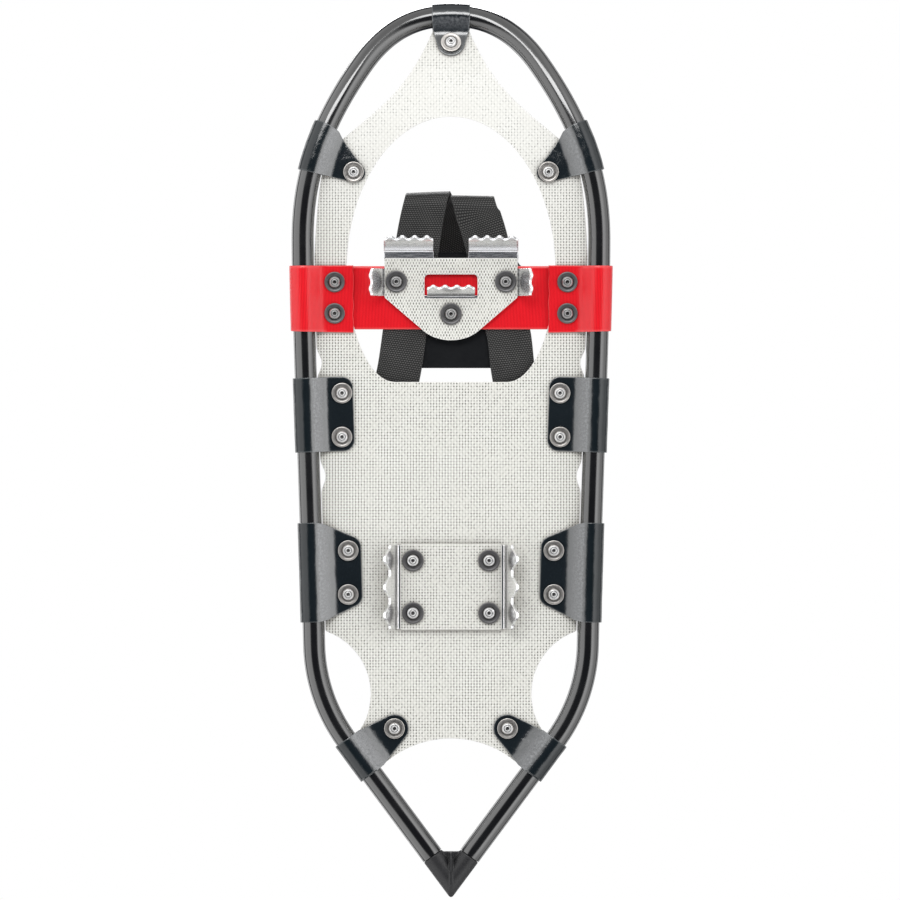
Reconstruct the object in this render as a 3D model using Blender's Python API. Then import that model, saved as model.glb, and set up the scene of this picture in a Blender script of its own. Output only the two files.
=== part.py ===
"""Aluminium-frame snowshoe with a V tail, modelled as separate pieces.

Axes: +X to the wearer's right, +Y towards the toe, +Z up.  The crampon teeth
stand on z = 0.  Design work is in millimetres; meshes are written in metres.

Most pieces are sheets: a flat outline with its holes is filled, creased where
it bends, laid along its path and given its thickness.  The deck and what is
fixed to it are drawn with the toe rolled out flat, and turned up as they are laid.
"""
import bpy
import bmesh
import math
import numpy as np
from mathutils import Vector
from mathutils.geometry import delaunay_2d_cdt

# ---------------------------------------------------------------- dimensions, mm
METRES = 0.001
SIDES = ((1, "right"), (-1, "left"))
GAP = 0.3                # air between neighbouring pieces

TUBE_R = 7.95            # 5/8 in tube
TUBE_WALL = 1.6
TUBE_SIDES = 12
TUBE_FIT = 0.35          # air between the tube and what fits in or round it
DECK_EDGE = TUBE_R + 0.45    # from the tube's axis to the deck's edge

DECK_T = 1.0
TAB_T = 1.3
STRAP_T = 1.5            # red pivot strap
STRAP_W = 45.5
STRAP_SPLIT = 67.0       # x where the pivot strap passes from frame to binding
STRAP_SPLIT_GAP = 0.5
STRAP_LOWER_END = 70.2   # x where the strap's flap under the deck ends
WEB_T = 1.8              # harness webbing
WEB_W = 31.75
PLATE_T = 2.0            # crampon plates
PATCH_T = 1.0            # cloth under the crampon plates
FOOTBED_T = 3.0

# Heights of mid-planes. Under the foot the binding is a stack of flat layers.
DECK_Z = 21.5            # also the height of the tube's axis
PIVOT_Z = DECK_Z + DECK_T / 2 + GAP + STRAP_T / 2
WEB_Z = PIVOT_Z + STRAP_T / 2 + GAP + WEB_T / 2
FOOTBED_Z = WEB_Z + WEB_T / 2 + GAP + FOOTBED_T / 2
TOE_PLATE_Z = PIVOT_Z - STRAP_T / 2 - GAP - PLATE_T / 2
HEEL_PLATE_Z = DECK_Z - DECK_T / 2 - GAP - PLATE_T / 2
PATCH_DROP = PLATE_T / 2 + GAP + PATCH_T / 2
TOE_PATCH_Z = TOE_PLATE_Z - PATCH_DROP
HEEL_PATCH_Z = HEEL_PLATE_Z - PATCH_DROP

PIVOT_Y = 109.6          # the binding turns about this line
HEEL_AXIS_Y = 45.6       # the heel loop turns about this line
HEEL_AXIS_Z = WEB_Z
HEEL_GAP = 1.0           # half the gap between harness and heel loop

UP_Y = 200.0             # the toe turns up from here
UP_R = 230.0
UP_ANGLE = math.radians(26)
UP_CREASES = [UP_Y + UP_R * UP_ANGLE * k / 7 for k in range(8)]

# Frame centreline in plan, right-hand side
APEX_Y = 313.2
SHOULDER = (63.2, 278.9)
SHOULDER_SLOPE = math.radians(55.0)
WIDEST = (106.8, 151.2)
WAIST = (98.6, -137.0)
CORNER = (97.5, -178.9)
CORNER_R = 120.0
TAIL_END = (13.4, -292.0)
TAIL_SLOPE = 0.744       # dx/dy of the tail tubes

RIVET_SHANK = 2.4
SHANK_HOLE = RIVET_SHANK + GAP
WASHER_R = 7.4
CRAMPON_WASHER_R = 7.8
HEAD_R = 6.6
TOE_CRAMPON_HEAD_R = 4.4


# ---------------------------------------------------------------- materials
def material(name, color, roughness, metallic=0.0):
    made = bpy.data.materials.new(name)
    made.use_nodes = True
    inputs = made.node_tree.nodes["Principled BSDF"].inputs
    inputs["Base Color"].default_value = (*color, 1)
    inputs["Roughness"].default_value = roughness
    inputs["Metallic"].default_value = metallic
    return made


for old in list(bpy.data.objects):
    bpy.data.objects.remove(old, do_unlink=True)

BLACK_TUBE = material("black_tube", color=(0.012, 0.012, 0.013), roughness=0.22, metallic=0.6)
CAP = material("tail_cap", color=(0.03, 0.03, 0.032), roughness=0.55)
FABRIC = material("deck_fabric", color=(0.62, 0.62, 0.57), roughness=0.8)
TAB = material("coated_tab", color=(0.008, 0.012, 0.016), roughness=0.2)
RED = material("red_strap", color=(0.78, 0.01, 0.015), roughness=0.35)
ALLOY = material("crampon_alloy", color=(0.75, 0.77, 0.79), roughness=0.25, metallic=1.0)
STEEL = material("rivet_steel", color=(0.5, 0.48, 0.46), roughness=0.3, metallic=1.0)
DARK_STEEL = material("crampon_rivet_steel", color=(0.22, 0.22, 0.23), roughness=0.35,
                      metallic=1.0)
WEBBING = material("webbing", color=(0.02, 0.02, 0.021), roughness=0.8)
PLASTIC = material("footbed_plastic", color=(0.012, 0.013, 0.015), roughness=0.5)
BUCKLE = material("buckle_plastic", color=(0.02, 0.02, 0.021), roughness=0.4)


# ---------------------------------------------------------------- vectors and outlines
def unit(vector):
    vector = np.array(vector, float)
    return vector / np.linalg.norm(vector)


def measure(points):
    """Segment lengths, running length at each point, and segment directions of a path."""
    steps = np.diff(points, axis=0)
    lengths = np.linalg.norm(steps, axis=1)
    run = np.concatenate([[0], np.cumsum(lengths)])
    return lengths, run, steps / lengths[:, None]


def lookup(length, run, rows):
    """Rows of vectors interpolated at a running length."""
    return np.array([np.interp(length, run, column) for column in rows.T])


def mirrored(points):
    """Plan points mirrored in x = 0, in reverse order so that an outline runs on."""
    return [(-x, y) for x, y in points][::-1]


def bezier(start, lead_out, lead_in, end, count):
    """count points after start along a cubic."""
    points = []
    for k in range(1, count + 1):
        t = k / count
        points.append(tuple(
            (1 - t) ** 3 * a + 3 * (1 - t) ** 2 * t * b + 3 * (1 - t) * t * t * c + t ** 3 * d
            for a, b, c, d in zip(start, lead_out, lead_in, end)))
    return points


def arc(x, y, radius, start, end, steps):
    """Points on a circle about x, y, both ends included."""
    angles = [start + (end - start) * k / steps for k in range(steps + 1)]
    return [(x + radius * math.cos(angle), y + radius * math.sin(angle)) for angle in angles]


def circle(radius, sides=8):
    """Corners of a regular polygon about the origin, with a flat side facing +x."""
    angles = [2 * math.pi * (k + 0.5) / sides for k in range(sides)]
    return [(radius * math.cos(angle), radius * math.sin(angle)) for angle in angles]


def round_hole(x, y, radius, sides=8):
    """A round hole as a polygon that clears a shaft of the given radius."""
    corners = circle(radius / math.cos(math.pi / sides), sides)
    return [(x + step_x, y + step_y) for step_x, step_y in corners]


def round_corners(corners):
    """An outline from corners (x, y, radius), with a short arc wherever radius is not 0."""
    points = []
    for i, (x, y, radius) in enumerate(corners):
        if not radius:
            points.append((x, y))
            continue
        corner = np.array((x, y), float)
        to_last = unit(np.array(corners[i - 1][:2]) - corner)
        to_next = unit(np.array(corners[(i + 1) % len(corners)][:2]) - corner)
        half = math.acos(max(-1, min(1, float(to_last @ to_next)))) / 2
        cut = radius / math.tan(half)
        centre = corner + unit(to_last + to_next) * radius / math.sin(half)
        start = math.atan2(*(corner + to_last * cut - centre)[::-1])
        end = math.atan2(*(corner + to_next * cut - centre)[::-1])
        while end - start > math.pi:
            end -= 2 * math.pi
        while start - end > math.pi:
            end += 2 * math.pi
        points += arc(*centre, radius, start, end, 3)
    return points


def wave(start, end, base, depth, teeth):
    """(position, height) along a toothed edge, each tooth a raised cosine of 4 steps."""
    points = []
    for k in range(teeth * 4 + 1):
        part = k / (teeth * 4)
        rise = depth * (0.5 - 0.5 * math.cos(2 * math.pi * teeth * part))
        points.append((start + (end - start) * part, base + rise))
    return points


def fold(distance, radius, angle):
    """How far out and how far aside a strip gets, and its slope, past the start of a bend."""
    rest = distance - radius * angle
    if distance <= 0:
        return distance, 0.0, 0.0
    if rest < 0:
        slope = distance / radius
        return radius * math.sin(slope), radius * (1 - math.cos(slope)), slope
    return (radius * math.sin(angle) + rest * math.cos(angle),
            radius * (1 - math.cos(angle)) + rest * math.sin(angle), angle)


def catmull(points, steps):
    """A smooth run through the points; steps has the number of steps for each span."""
    points = [np.array(point, float) for point in points]
    points = [2 * points[0] - points[1]] + points + [2 * points[-1] - points[-2]]
    smooth = []
    for i, count in enumerate(steps):
        a, b, c, d = points[i:i + 4]
        for j in range(count):
            t = j / count
            smooth.append(0.5 * ((2 * b) + (-a + c) * t + (2 * a - 5 * b + 4 * c - d) * t * t
                                 + (-a + 3 * b - 3 * c + d) * t ** 3))
    smooth.append(points[-2])
    return np.array(smooth)


# ---------------------------------------------------------------- mesh helpers
def add_object(name, mesh, mat, smooth=True):
    """Turn a closed bmesh in millimetres into an object in metres."""
    bmesh.ops.scale(mesh, vec=(METRES,) * 3, verts=mesh.verts[:])
    bmesh.ops.triangulate(mesh, faces=mesh.faces[:])
    bmesh.ops.recalc_face_normals(mesh, faces=mesh.faces[:])
    if mesh.calc_volume(signed=True) < 0:
        bmesh.ops.reverse_faces(mesh, faces=mesh.faces[:])
    data = bpy.data.meshes.new(name)
    mesh.to_mesh(data)
    mesh.free()
    data.materials.append(mat)
    if smooth:
        data.shade_smooth()
        data.set_sharp_from_angle(angle=math.radians(30))
    piece = bpy.data.objects.new(name, data)
    bpy.context.scene.collection.objects.link(piece)
    return piece


def inside(point, loop):
    """Whether a flat point lies in a closed outline."""
    hit = False
    for (x_a, y_a), (x_b, y_b) in zip(loop, loop[1:] + loop[:1]):
        if (y_a > point[1]) != (y_b > point[1]):
            if point[0] < x_a + (point[1] - y_a) * (x_b - x_a) / (y_b - y_a):
                hit = not hit
    return hit


def fill(outer, holes, cuts_x, cuts_y):
    """Flat points and faces of an outline less its holes, with edges along the cuts."""
    points, edges = [], []
    for loop in [outer] + holes:
        first = len(points)
        points += [Vector(point) for point in loop]
        edges += [(first + i, first + (i + 1) % len(loop)) for i in range(len(loop))]
    over = 5                     # cuts run this far past the outline
    low_x, high_x = min(x for x, _ in outer) - over, max(x for x, _ in outer) + over
    low_y, high_y = min(y for _, y in outer) - over, max(y for _, y in outer) + over
    lines = [((x, low_y), (x, high_y)) for x in cuts_x]
    lines += [((low_x, y), (high_x, y)) for y in cuts_y]
    for start, end in lines:
        edges.append((len(points), len(points) + 1))
        points += [Vector(start), Vector(end)]
    flat_points, _, faces, *_ = delaunay_2d_cdt(points, edges, [], 0, 1e-4)
    kept = []
    for face in faces:
        middle = sum((flat_points[i] for i in face), Vector((0, 0))) / len(face)
        if inside(middle, outer) and not any(inside(middle, hole) for hole in holes):
            kept.append(face)
    return flat_points, kept


def sheet(name, outer, holes, place, thickness, mat, cuts_x=(), cuts_y=()):
    """A flat blank with holes, creased at cuts, laid by place(x, y) -> point, normal."""
    flat_points, faces = fill(outer, holes, cuts_x, cuts_y)
    mesh = bmesh.new()
    top, bottom, rim = {}, {}, {}
    for i in sorted({i for face in faces for i in face}):
        point, normal = place(flat_points[i].x, flat_points[i].y)
        point, normal = np.array(point, float), np.array(normal, float)
        top[i] = mesh.verts.new(point + normal * thickness / 2)
        bottom[i] = mesh.verts.new(point - normal * thickness / 2)
    for face in faces:
        mesh.faces.new([top[i] for i in face])
        mesh.faces.new([bottom[i] for i in reversed(face)])
        for i, j in zip(face, list(face[1:]) + [face[0]]):
            if (j, i) in rim:
                del rim[(j, i)]
            else:
                rim[(i, j)] = True
    for i, j in rim:
        mesh.faces.new((top[j], top[i], bottom[i], bottom[j]))
    return add_object(name, mesh, mat)


def add_skin(mesh, rings):
    """Join rings of equal length with quads; returns their vertices."""
    made = [[mesh.verts.new(point) for point in ring] for ring in rings]
    for ring, following in zip(made, made[1:]):
        for i in range(len(ring)):
            j = (i + 1) % len(ring)
            mesh.faces.new((ring[i], ring[j], following[j], following[i]))
    return made


def loft(name, rings, mat):
    """A solid skinned over rings and closed at both ends."""
    mesh = bmesh.new()
    made = add_skin(mesh, rings)
    mesh.faces.new(made[0])
    mesh.faces.new(made[-1])
    return add_object(name, mesh, mat)


def prism(name, ring, shift, mat):
    """A flat-shaded block: a ring of points extruded by shift."""
    mesh = bmesh.new()
    face = mesh.faces.new([mesh.verts.new(point) for point in ring])
    made = bmesh.ops.extrude_face_region(mesh, geom=[face])["geom"]
    moved = [item for item in made if isinstance(item, bmesh.types.BMVert)]
    bmesh.ops.translate(mesh, vec=shift, verts=moved)
    return add_object(name, mesh, mat, smooth=False)


def unite(piece, helper, modifier_name):
    """Join a helper to a piece with a boolean, and hide the helper."""
    modifier = piece.modifiers.new(modifier_name, "BOOLEAN")
    modifier.operation = "UNION"
    modifier.object = helper
    helper.hide_render = True
    helper.display_type = "WIRE"


# ---------------------------------------------------------------- toe upturn
def turn_up(x, y, height):
    """A point at a height above the deck's mid-plane at flat x, y, with the toe turned up."""
    past = y - UP_Y
    if past <= 0:
        return (x, y, DECK_Z + height)
    slope = min(past / UP_R, UP_ANGLE)
    rest = max(0.0, past - UP_R * UP_ANGLE)
    plan_y = UP_Y + UP_R * math.sin(slope) + rest * math.cos(slope)
    rise = UP_R * (1 - math.cos(slope)) + rest * math.sin(slope)
    return (x, plan_y - height * math.sin(slope), DECK_Z + rise + height * math.cos(slope))


def unroll(y):
    """Flat length to the point that stands over y in plan."""
    past = y - UP_Y
    curved = UP_R * math.sin(UP_ANGLE)
    if past <= 0:
        return y
    if past <= curved:
        return UP_Y + UP_R * math.asin(past / UP_R)
    return UP_Y + UP_R * UP_ANGLE + (past - curved) / math.cos(UP_ANGLE)


def flat(point):
    return (point[0], unroll(point[1]))


# Rivet places, right-hand side, on the flat deck
TOE_RIVET = flat((0.0, 293.0))
FRONT_RIVET = flat((70.2, 200.2))
PIVOT_RIVETS = [(83.8, PIVOT_Y + 11.3), (83.8, PIVOT_Y - 11.3)]
MID_RIVETS = [(78.5, 41.0), (78.5, 9.4)]
REAR_RIVETS = [(74.0, -72.4), (74.0, -104.0)]
TAIL_RIVET = (40.7, -200.5)
HEEL_RIVETS = [(27.4, -79.6), (27.4, -117.4)]
TOE_CRAMPON_RIVETS = [(39.4, 121.2), (-39.4, 121.2), (0.0, 97.9)]    # right, left, rear


# ---------------------------------------------------------------- frame centreline
def centreline():
    """Flat points of the right-hand half, from the apex to the tail's end."""
    slope_x, slope_y = math.cos(SHOULDER_SLOPE), math.sin(SHOULDER_SLOPE)
    shoulder_x, shoulder_y = SHOULDER
    points = [(0.0, APEX_Y)]
    points += bezier(points[0], (8.8, APEX_Y),
                     (shoulder_x - 44 * slope_x, shoulder_y + 44 * slope_y), SHOULDER, 6)
    points += bezier(SHOULDER, (shoulder_x + 62 * slope_x, shoulder_y - 62 * slope_y),
                     (WIDEST[0], WIDEST[1] + 38), WIDEST, 6)
    points += bezier(WIDEST, (WIDEST[0], WIDEST[1] - 60),
                     (WAIST[0] + 2.2, WAIST[1] + 100), WAIST, 5)
    # arc that rounds the corner between waist and tail
    before = unit((CORNER[0] - WAIST[0], CORNER[1] - WAIST[1]))
    after = unit((-TAIL_SLOPE, -1))
    turn = math.acos(float(before @ after))
    start = np.array(CORNER) - before * CORNER_R * math.tan(turn / 2)
    left = np.array((-1.0, 0.0))
    inward = unit(left - before * float(left @ before))
    centre = start + inward * CORNER_R
    for k in range(6):
        angle = turn * k / 5
        points.append(tuple(centre - inward * CORNER_R * math.cos(angle)
                            + before * CORNER_R * math.sin(angle)))
    points.append(TAIL_END)
    return [flat(point) for point in points]


LINE = np.array(centreline())
SEGMENTS, RUN, DIRECTIONS = measure(LINE)           # RUN is the length from the apex
TANGENTS = np.array([unit((1, 0))]
                    + [unit(a + b) for a, b in zip(DIRECTIONS, DIRECTIONS[1:])]
                    + [DIRECTIONS[-1]])
INWARD = np.stack([TANGENTS[:, 1], -TANGENTS[:, 0]], 1)     # towards the middle of the deck


def frame_at(run, side=1):
    """Centreline point and inward direction at a length from the apex, on side +1 or -1."""
    if run < 0:
        run, side = -run, -side
    return lookup(run, RUN, LINE) * (side, 1), lookup(run, RUN, INWARD) * (side, 1)


def nearest_run(x, y):
    """Length from the apex to the centreline's nearest point, right-hand side."""
    best_run, best_gap = 0.0, math.inf
    for i, length in enumerate(SEGMENTS):
        offset = np.array((x, y)) - LINE[i]
        step = float(np.clip(offset @ DIRECTIONS[i], 0, length))
        gap = math.hypot(*(offset - DIRECTIONS[i] * step))
        if gap < best_gap:
            best_run, best_gap = RUN[i] + step, gap
    return best_run


def locate(x, y):
    """Length from the apex and inward distance that frame_at turns back into x, y."""
    run = nearest_run(x, y)
    for _ in range(30):
        point, inward = frame_at(run)
        inward = unit(inward)
        offset = np.array((x, y)) - point
        distance = float(offset @ inward)
        run += 0.6 * float(offset @ np.array((-inward[1], inward[0])))
    return run, distance / float(np.linalg.norm(frame_at(run)[1]))


# ---------------------------------------------------------------- frame tube and tail cap
def frame_tube():
    stations = [(run, -1) for run in RUN[::-1]] + [(run, 1) for run in RUN[1:]]
    mesh = bmesh.new()
    skins = []
    for radius in (TUBE_R, TUBE_R - TUBE_WALL):
        rings = []
        for run, side in stations:
            point, inward = frame_at(run, side)
            rings.append([turn_up(*(point + inward * offset), height)
                          for offset, height in circle(radius, TUBE_SIDES)])
        skins.append(add_skin(mesh, rings))
    for end in (0, -1):
        outer, inner = skins[0][end], skins[1][end]
        for i in range(TUBE_SIDES):
            j = (i + 1) % TUBE_SIDES
            mesh.faces.new((outer[i], outer[j], inner[j], inner[i]))
    add_object("frame_tube", mesh, BLACK_TUBE)


def tail_cap():
    """A mitred V that plugs both tail tubes, with a web in the V and a rib behind it."""
    tail_dir = unit((-TAIL_SLOPE, -1))
    tail_in = np.array((tail_dir[1], -tail_dir[0]))      # towards the inside of the V
    spigot_r = TUBE_R - TUBE_WALL - TUBE_FIT
    # distance past the right-hand tube's end (None: on to the mitre at x = 0), radius
    profile = [(-14.0, spigot_r - 0.5), (-12.5, spigot_r), (GAP, spigot_r),
               (GAP, TUBE_R), (None, TUBE_R)]
    half = []
    for past, radius in profile:
        ring = []
        for offset, height in circle(radius, TUBE_SIDES):
            point = np.array(TAIL_END) + tail_in * offset
            step = point[0] / -tail_dir[0] if past is None else past
            ring.append((*(point + tail_dir * step), DECK_Z + height))
        half.append(ring)
    other = [[(-x, y, z) for x, y, z in ring] for ring in half[:-1]][::-1]
    cap = loft("tail_cap", half + other, CAP)

    web_t, rib_t = 6.0, 2.0
    web_plan = [(-7.5, -288.9), (7.5, -288.9), (7.5, -297.0), (0.0, -306.0), (-7.5, -297.0)]
    web = prism("cut_tail_web", [(x, y, DECK_Z - web_t / 2) for x, y in web_plan],
                (0, 0, web_t), CAP)
    # y, height above the deck's mid-plane
    rib_side = [(-289.6, 2.0), (-289.6, -4.5), (-294.0, -8.6), (-314.5, -8.6),
                (-317.5, -6.5), (-317.5, 2.0)]
    rib = prism("cut_tail_rib", [(-rib_t / 2, y, DECK_Z + z) for y, z in rib_side],
                (rib_t, 0, 0), CAP)
    for helper in (web, rib):
        unite(cap, helper, helper.name)


# ---------------------------------------------------------------- deck
def deck_inset(run):
    """From the tube's axis to the deck's edge: close, with two shallow side notches."""
    y = frame_at(run)[0][1]
    inset = DECK_EDGE
    for notch_y, half_width in ((62.5, 12.0), (-19.0, 13.0)):
        part = abs(y - notch_y) / half_width
        if part < 1:
            inset += 3.4 * math.cos(part * math.pi / 2) ** 2
    if 140 < y < 200:                          # long shallow hollow ahead of the pivot
        inset += 1.2 * math.sin((y - 140) / 60 * math.pi)
    return inset


def beside_tube(run, inset):
    point, inward = frame_at(run)
    return tuple(point + inward * inset)


def deck_outline():
    """Right-hand edge from the toe back to the tail arc, then the left mirrored."""
    right = [(6.0, 305.5), (12.5, 304.0)]
    right += bezier((12.5, 304.0), (19.0, 289.0), (26.5, 272.0), (45.0, 252.7), 4)
    right += bezier((45.0, 252.7), (58.0, 240.0), (72.0, 229.0), (81.0, 221.3), 2)
    right = [flat(point) for point in right]

    # along the inside of the tube, closer together at the notches
    edge_y = (190, 175, 160, 140, 110, 76, 68, 62.5, 57, 50,
              20, -7, -13, -19, -25, -31, -60, -100)
    runs = [nearest_run(*flat((98.0, 207.0)))] + [nearest_run(103, y) for y in edge_y]
    runs.append(nearest_run(98.6, -130.0))
    right += [beside_tube(run, deck_inset(run)) for run in runs]

    # round cut-out at the waist
    cut_x, cut_y, cut_r = 105.5, -175.6, 47.6
    start = math.atan2(-130.3 - cut_y, 90.7 - cut_x)
    end = math.atan2(-202.5 - cut_y, 66.2 - cut_x) + 2 * math.pi
    right += arc(cut_x, cut_y, cut_r, start, end, 9)[1:-1]
    right += [beside_tube(nearest_run(x, y), DECK_EDGE) for x, y in ((66.2, -202.5), (50.0, -227.0))]

    # hollow rear edge
    rear_y, rear_r = -280.4, 72.7
    start = math.atan2(-227.5 - rear_y, 49.8)
    right += arc(0.0, rear_y, rear_r, start, math.pi / 2, 6)[:-1]
    return right + [(0.0, rear_y + rear_r)] + mirrored(right)


def toe_hole():
    """Half an ellipse in front, a rounded flat back."""
    half_width, widest_y, front, back_y = 75.2, 129.0, 111.0, 49.0
    angles = [math.pi / 2 * k / 8 for k in range(9)]
    right = [flat((half_width * math.cos(angle), widest_y + front * math.sin(angle)))
             for angle in angles][::-1]
    right += bezier((half_width, widest_y), (half_width, widest_y - 34), (62.0, back_y),
                    (40.0, back_y), 8)
    right += [(20.0, back_y), (0.0, back_y)]
    return right + mirrored(right[1:-1])


def deck():
    holes = [toe_hole(), round_hole(*TOE_RIVET, SHANK_HOLE, 6)]
    for x, y in [FRONT_RIVET, *PIVOT_RIVETS, *MID_RIVETS, *REAR_RIVETS, TAIL_RIVET, *HEEL_RIVETS]:
        holes += [round_hole(x, y, SHANK_HOLE, 6), round_hole(-x, y, SHANK_HOLE, 6)]

    def place(x, y):
        base, tip = np.array(turn_up(x, y, 0.0)), np.array(turn_up(x, y, 1.0))
        return base, tip - base
    sheet("deck", deck_outline(), holes, place, DECK_T, FABRIC,
          cuts_x=[-34.0, 34.0], cuts_y=[-48.0, -32.0] + UP_CREASES)


# ---------------------------------------------------------------- rivets
def rivet(name, x, y, low, high, washer_r=WASHER_R, head_r=HEAD_R, mat=STEEL):
    """Clamps faces from low to high above the deck's mid-plane at flat x, y; washer below."""
    low, high = low - GAP, high + GAP
    # radius, height: lower head, washer, shank, upper head
    profile = [(2.6, low - 3.1), (4.3, low - 1.2), (washer_r, low - 1.2), (washer_r, low),
               (RIVET_SHANK, low), (RIVET_SHANK, high),
               (head_r, high), (head_r, high + 1.0), (3.9, high + 1.0), (2.4, high + 2.5)]
    rings = [[turn_up(x + step_x, y + step_y, height) for step_x, step_y in circle(radius)]
             for radius, height in profile]
    loft(name, rings, mat)


def side_rivets(kind, places, low, high, **options):
    """The same rivets on both sides; a pair is named front and rear."""
    ends = ("_front", "_rear") if len(places) == 2 else ("",)
    for side, word in SIDES:
        for (x, y), end in zip(places, ends):
            rivet(f"{kind}_rivet_{word}{end}", side * x, y, low, high, **options)


def clamped(thickness):
    """Lowest and highest face of a deck wrapped in a strip of this thickness."""
    high = DECK_T / 2 + GAP + thickness
    return -high, high


# ---------------------------------------------------------------- wraps round the tube
class Wrap:
    """Section of a strip folded round the tube: under the deck, round, and back over it.

    Girth is the signed length round the section, positive on the upper leg.
    """

    def __init__(self, thickness, reach):
        """reach is the inward distance at which the legs come to lie flat on the deck."""
        radius = TUBE_R + TUBE_FIT + thickness / 2
        height = DECK_T / 2 + GAP + thickness / 2
        touch = math.atan2(height, reach) + math.acos(radius / math.hypot(reach, height))
        sweep = math.pi - touch
        count = max(3, round(math.degrees(sweep) / 26))
        upper = [(-radius * math.cos(sweep * k / count), radius * math.sin(sweep * k / count))
                 for k in range(count + 1)]
        upper += [(reach, height), (60.0, height)]
        self.reach = reach
        self.points = np.array([(x, -y) for x, y in upper[::-1]] + upper[1:])
        _, run, dirs = measure(self.points)
        self.run = run - run[-1] / 2
        self.cuts = list(self.run[1:-1])
        normals = []
        for i in range(len(self.points)):
            before, after = dirs[max(i - 1, 0)], dirs[min(i, len(dirs) - 1)]
            tangent = unit(before + after)
            stretch = 1 / math.sqrt((1 + float(before @ after)) / 2)
            normals.append(np.array((-tangent[1], tangent[0])) * stretch)
        self.normals = np.array(normals)

    def girth(self, inward):
        """Girth to an inward distance on the upper leg or the slope down to it."""
        touch, touch_girth, leg_girth = self.points[-3][0], self.run[-3], self.run[-2]
        if inward >= self.reach:
            return leg_girth + inward - self.reach
        part = max(0.0, inward - touch) / (self.reach - touch)
        return touch_girth + (leg_girth - touch_girth) * part

    def section(self, girth):
        """(inward, height) and normal at a girth."""
        return lookup(girth, self.run, self.points), lookup(girth, self.run, self.normals)

    def place(self, middle, side):
        """Placement about the length `middle` from the apex."""
        def laid(girth, along):
            (offset, height), normal = self.section(girth)
            point, inward = frame_at(middle - along, side)
            base = np.array(turn_up(*(point + inward * offset), height))
            tip = np.array(turn_up(*(point + inward * (offset + normal[0] * 0.01)),
                                   height + normal[1] * 0.01))
            return base, (tip - base) / 0.01
        return laid


def wrap_holes(wrap, spots):
    """Rivet holes through both legs at (inward, along) spots."""
    return [round_hole(sign * wrap.girth(inward), along, SHANK_HOLE, 6)
            for inward, along in spots for sign in (1, -1)]


def line_cuts(middle, half_length):
    """Creases where the frame's centreline bends under a wrap."""
    return [middle - run for run in list(RUN) + list(-RUN[1:])
            if abs(run - middle) < half_length - 0.3]


def tab(name, flap, wrap, spots, place, cuts_y):
    """flap is the upper leg's outline as (inward, along), from its front edge to its rear."""
    upper = [(wrap.girth(inward), along) for inward, along in flap]
    lower = [(-girth, along) for girth, along in upper][::-1]
    end = max(girth for girth, _ in upper)
    sheet(name, upper + lower, wrap_holes(wrap, spots), place, TAB_T, TAB,
          cuts_x=[cut for cut in wrap.cuts if abs(cut) < end - 0.5], cuts_y=cuts_y)


def side_tabs(kind, flap, reach, middle, places):
    """A tab and its rivets on both sides, about the length `middle` from the apex."""
    wrap = Wrap(TAB_T, reach)
    spots = [(inward, middle - run) for run, inward in (locate(*place) for place in places)]
    cuts = line_cuts(middle, flap[0][1])
    for side, word in SIDES:
        tab(f"{kind}_tab_{word}", flap, wrap, spots, wrap.place(middle, side), cuts)
    side_rivets(kind, places, *clamped(TAB_T))


def rounded_end(inward, along, radius, front_degrees, rear_degrees):
    return arc(inward, along, radius, math.radians(front_degrees), math.radians(rear_degrees), 5)


def toe_tab():
    """Straight sides and a rounded end."""
    wrap = Wrap(TAB_T, reach=14.4)
    rivet_in = LINE[0][1] - TOE_RIVET[1]
    flap = [(4.5, 13.7), (13.0, 12.9)] + rounded_end(rivet_in, 0, 10.0, 68, -68) \
        + [(13.0, -12.9), (4.5, -13.7)]

    def place(girth, along):
        """Follows the tube's bow where it wraps it, and runs straight back on the deck."""
        (offset, height), normal = wrap.section(girth)
        bow = float(np.interp(abs(along), LINE[:4, 0], LINE[:4, 1]))
        straight = min(1.0, max(0.0, (offset - 3.0) / 11.0))
        y = bow * (1 - straight) + LINE[0][1] * straight
        base = np.array(turn_up(along, y - offset, height))
        tip = np.array(turn_up(along, y - offset - normal[0] * 0.01, height + normal[1] * 0.01))
        return base, (tip - base) / 0.01

    cuts = [cut for cut in (-LINE[1][0], 0.0, LINE[1][0]) if abs(cut) < 13.4]
    tab("toe_tab", flap, wrap, [(rivet_in, 0.0)], place, cuts)
    rivet("toe_rivet", *TOE_RIVET, *clamped(TAB_T))


def front_tabs():
    """Rear edge square, front edge slanting to the rivet."""
    rivet_run, rivet_in = locate(*FRONT_RIVET)
    back = -8.8                  # the rivet lies this far along from the tab's middle
    flap = [(4.5, 17.9), (10.0, 16.8)] + rounded_end(rivet_in, back, 8.7, 52, -86) \
        + [(18.0, -17.6), (6.0, -17.9)]
    side_tabs("front", flap, 15.6, rivet_run + back, [FRONT_RIVET])


def mid_tabs():
    """A rectangle with rounded corners."""
    flap = round_corners([(4.5, 26.8, 0), (33.6, 26.8, 8), (33.6, -26.8, 8), (4.5, -26.8, 0)])
    side_tabs("mid", flap, 15.2, nearest_run(101.8, 25.2), MID_RIVETS)


def rear_tabs():
    """Long on the tube, narrowing to the two rivets."""
    flap = round_corners([(4.5, 35.8, 0), (10.0, 34.5, 0), (35.6, 22.4, 8),
                          (35.6, -22.4, 8), (10.0, -34.5, 0), (4.5, -35.8, 0)])
    side_tabs("rear", flap, 17.2, nearest_run(99.4, -88.2), REAR_RIVETS)


def tail_tabs():
    """Tapering to a rounded end."""
    rivet_run, rivet_in = locate(*TAIL_RIVET)
    ahead = 1.0                  # the rivet lies this far along from the tab's middle
    flap = [(4.5, 15.6), (11.0, 15.4)] + rounded_end(rivet_in, ahead, 10.1, 74, -74) \
        + [(11.0, -15.4), (4.5, -15.6)]
    side_tabs("tail", flap, 20.0, rivet_run + ahead, [TAIL_RIVET])


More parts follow.
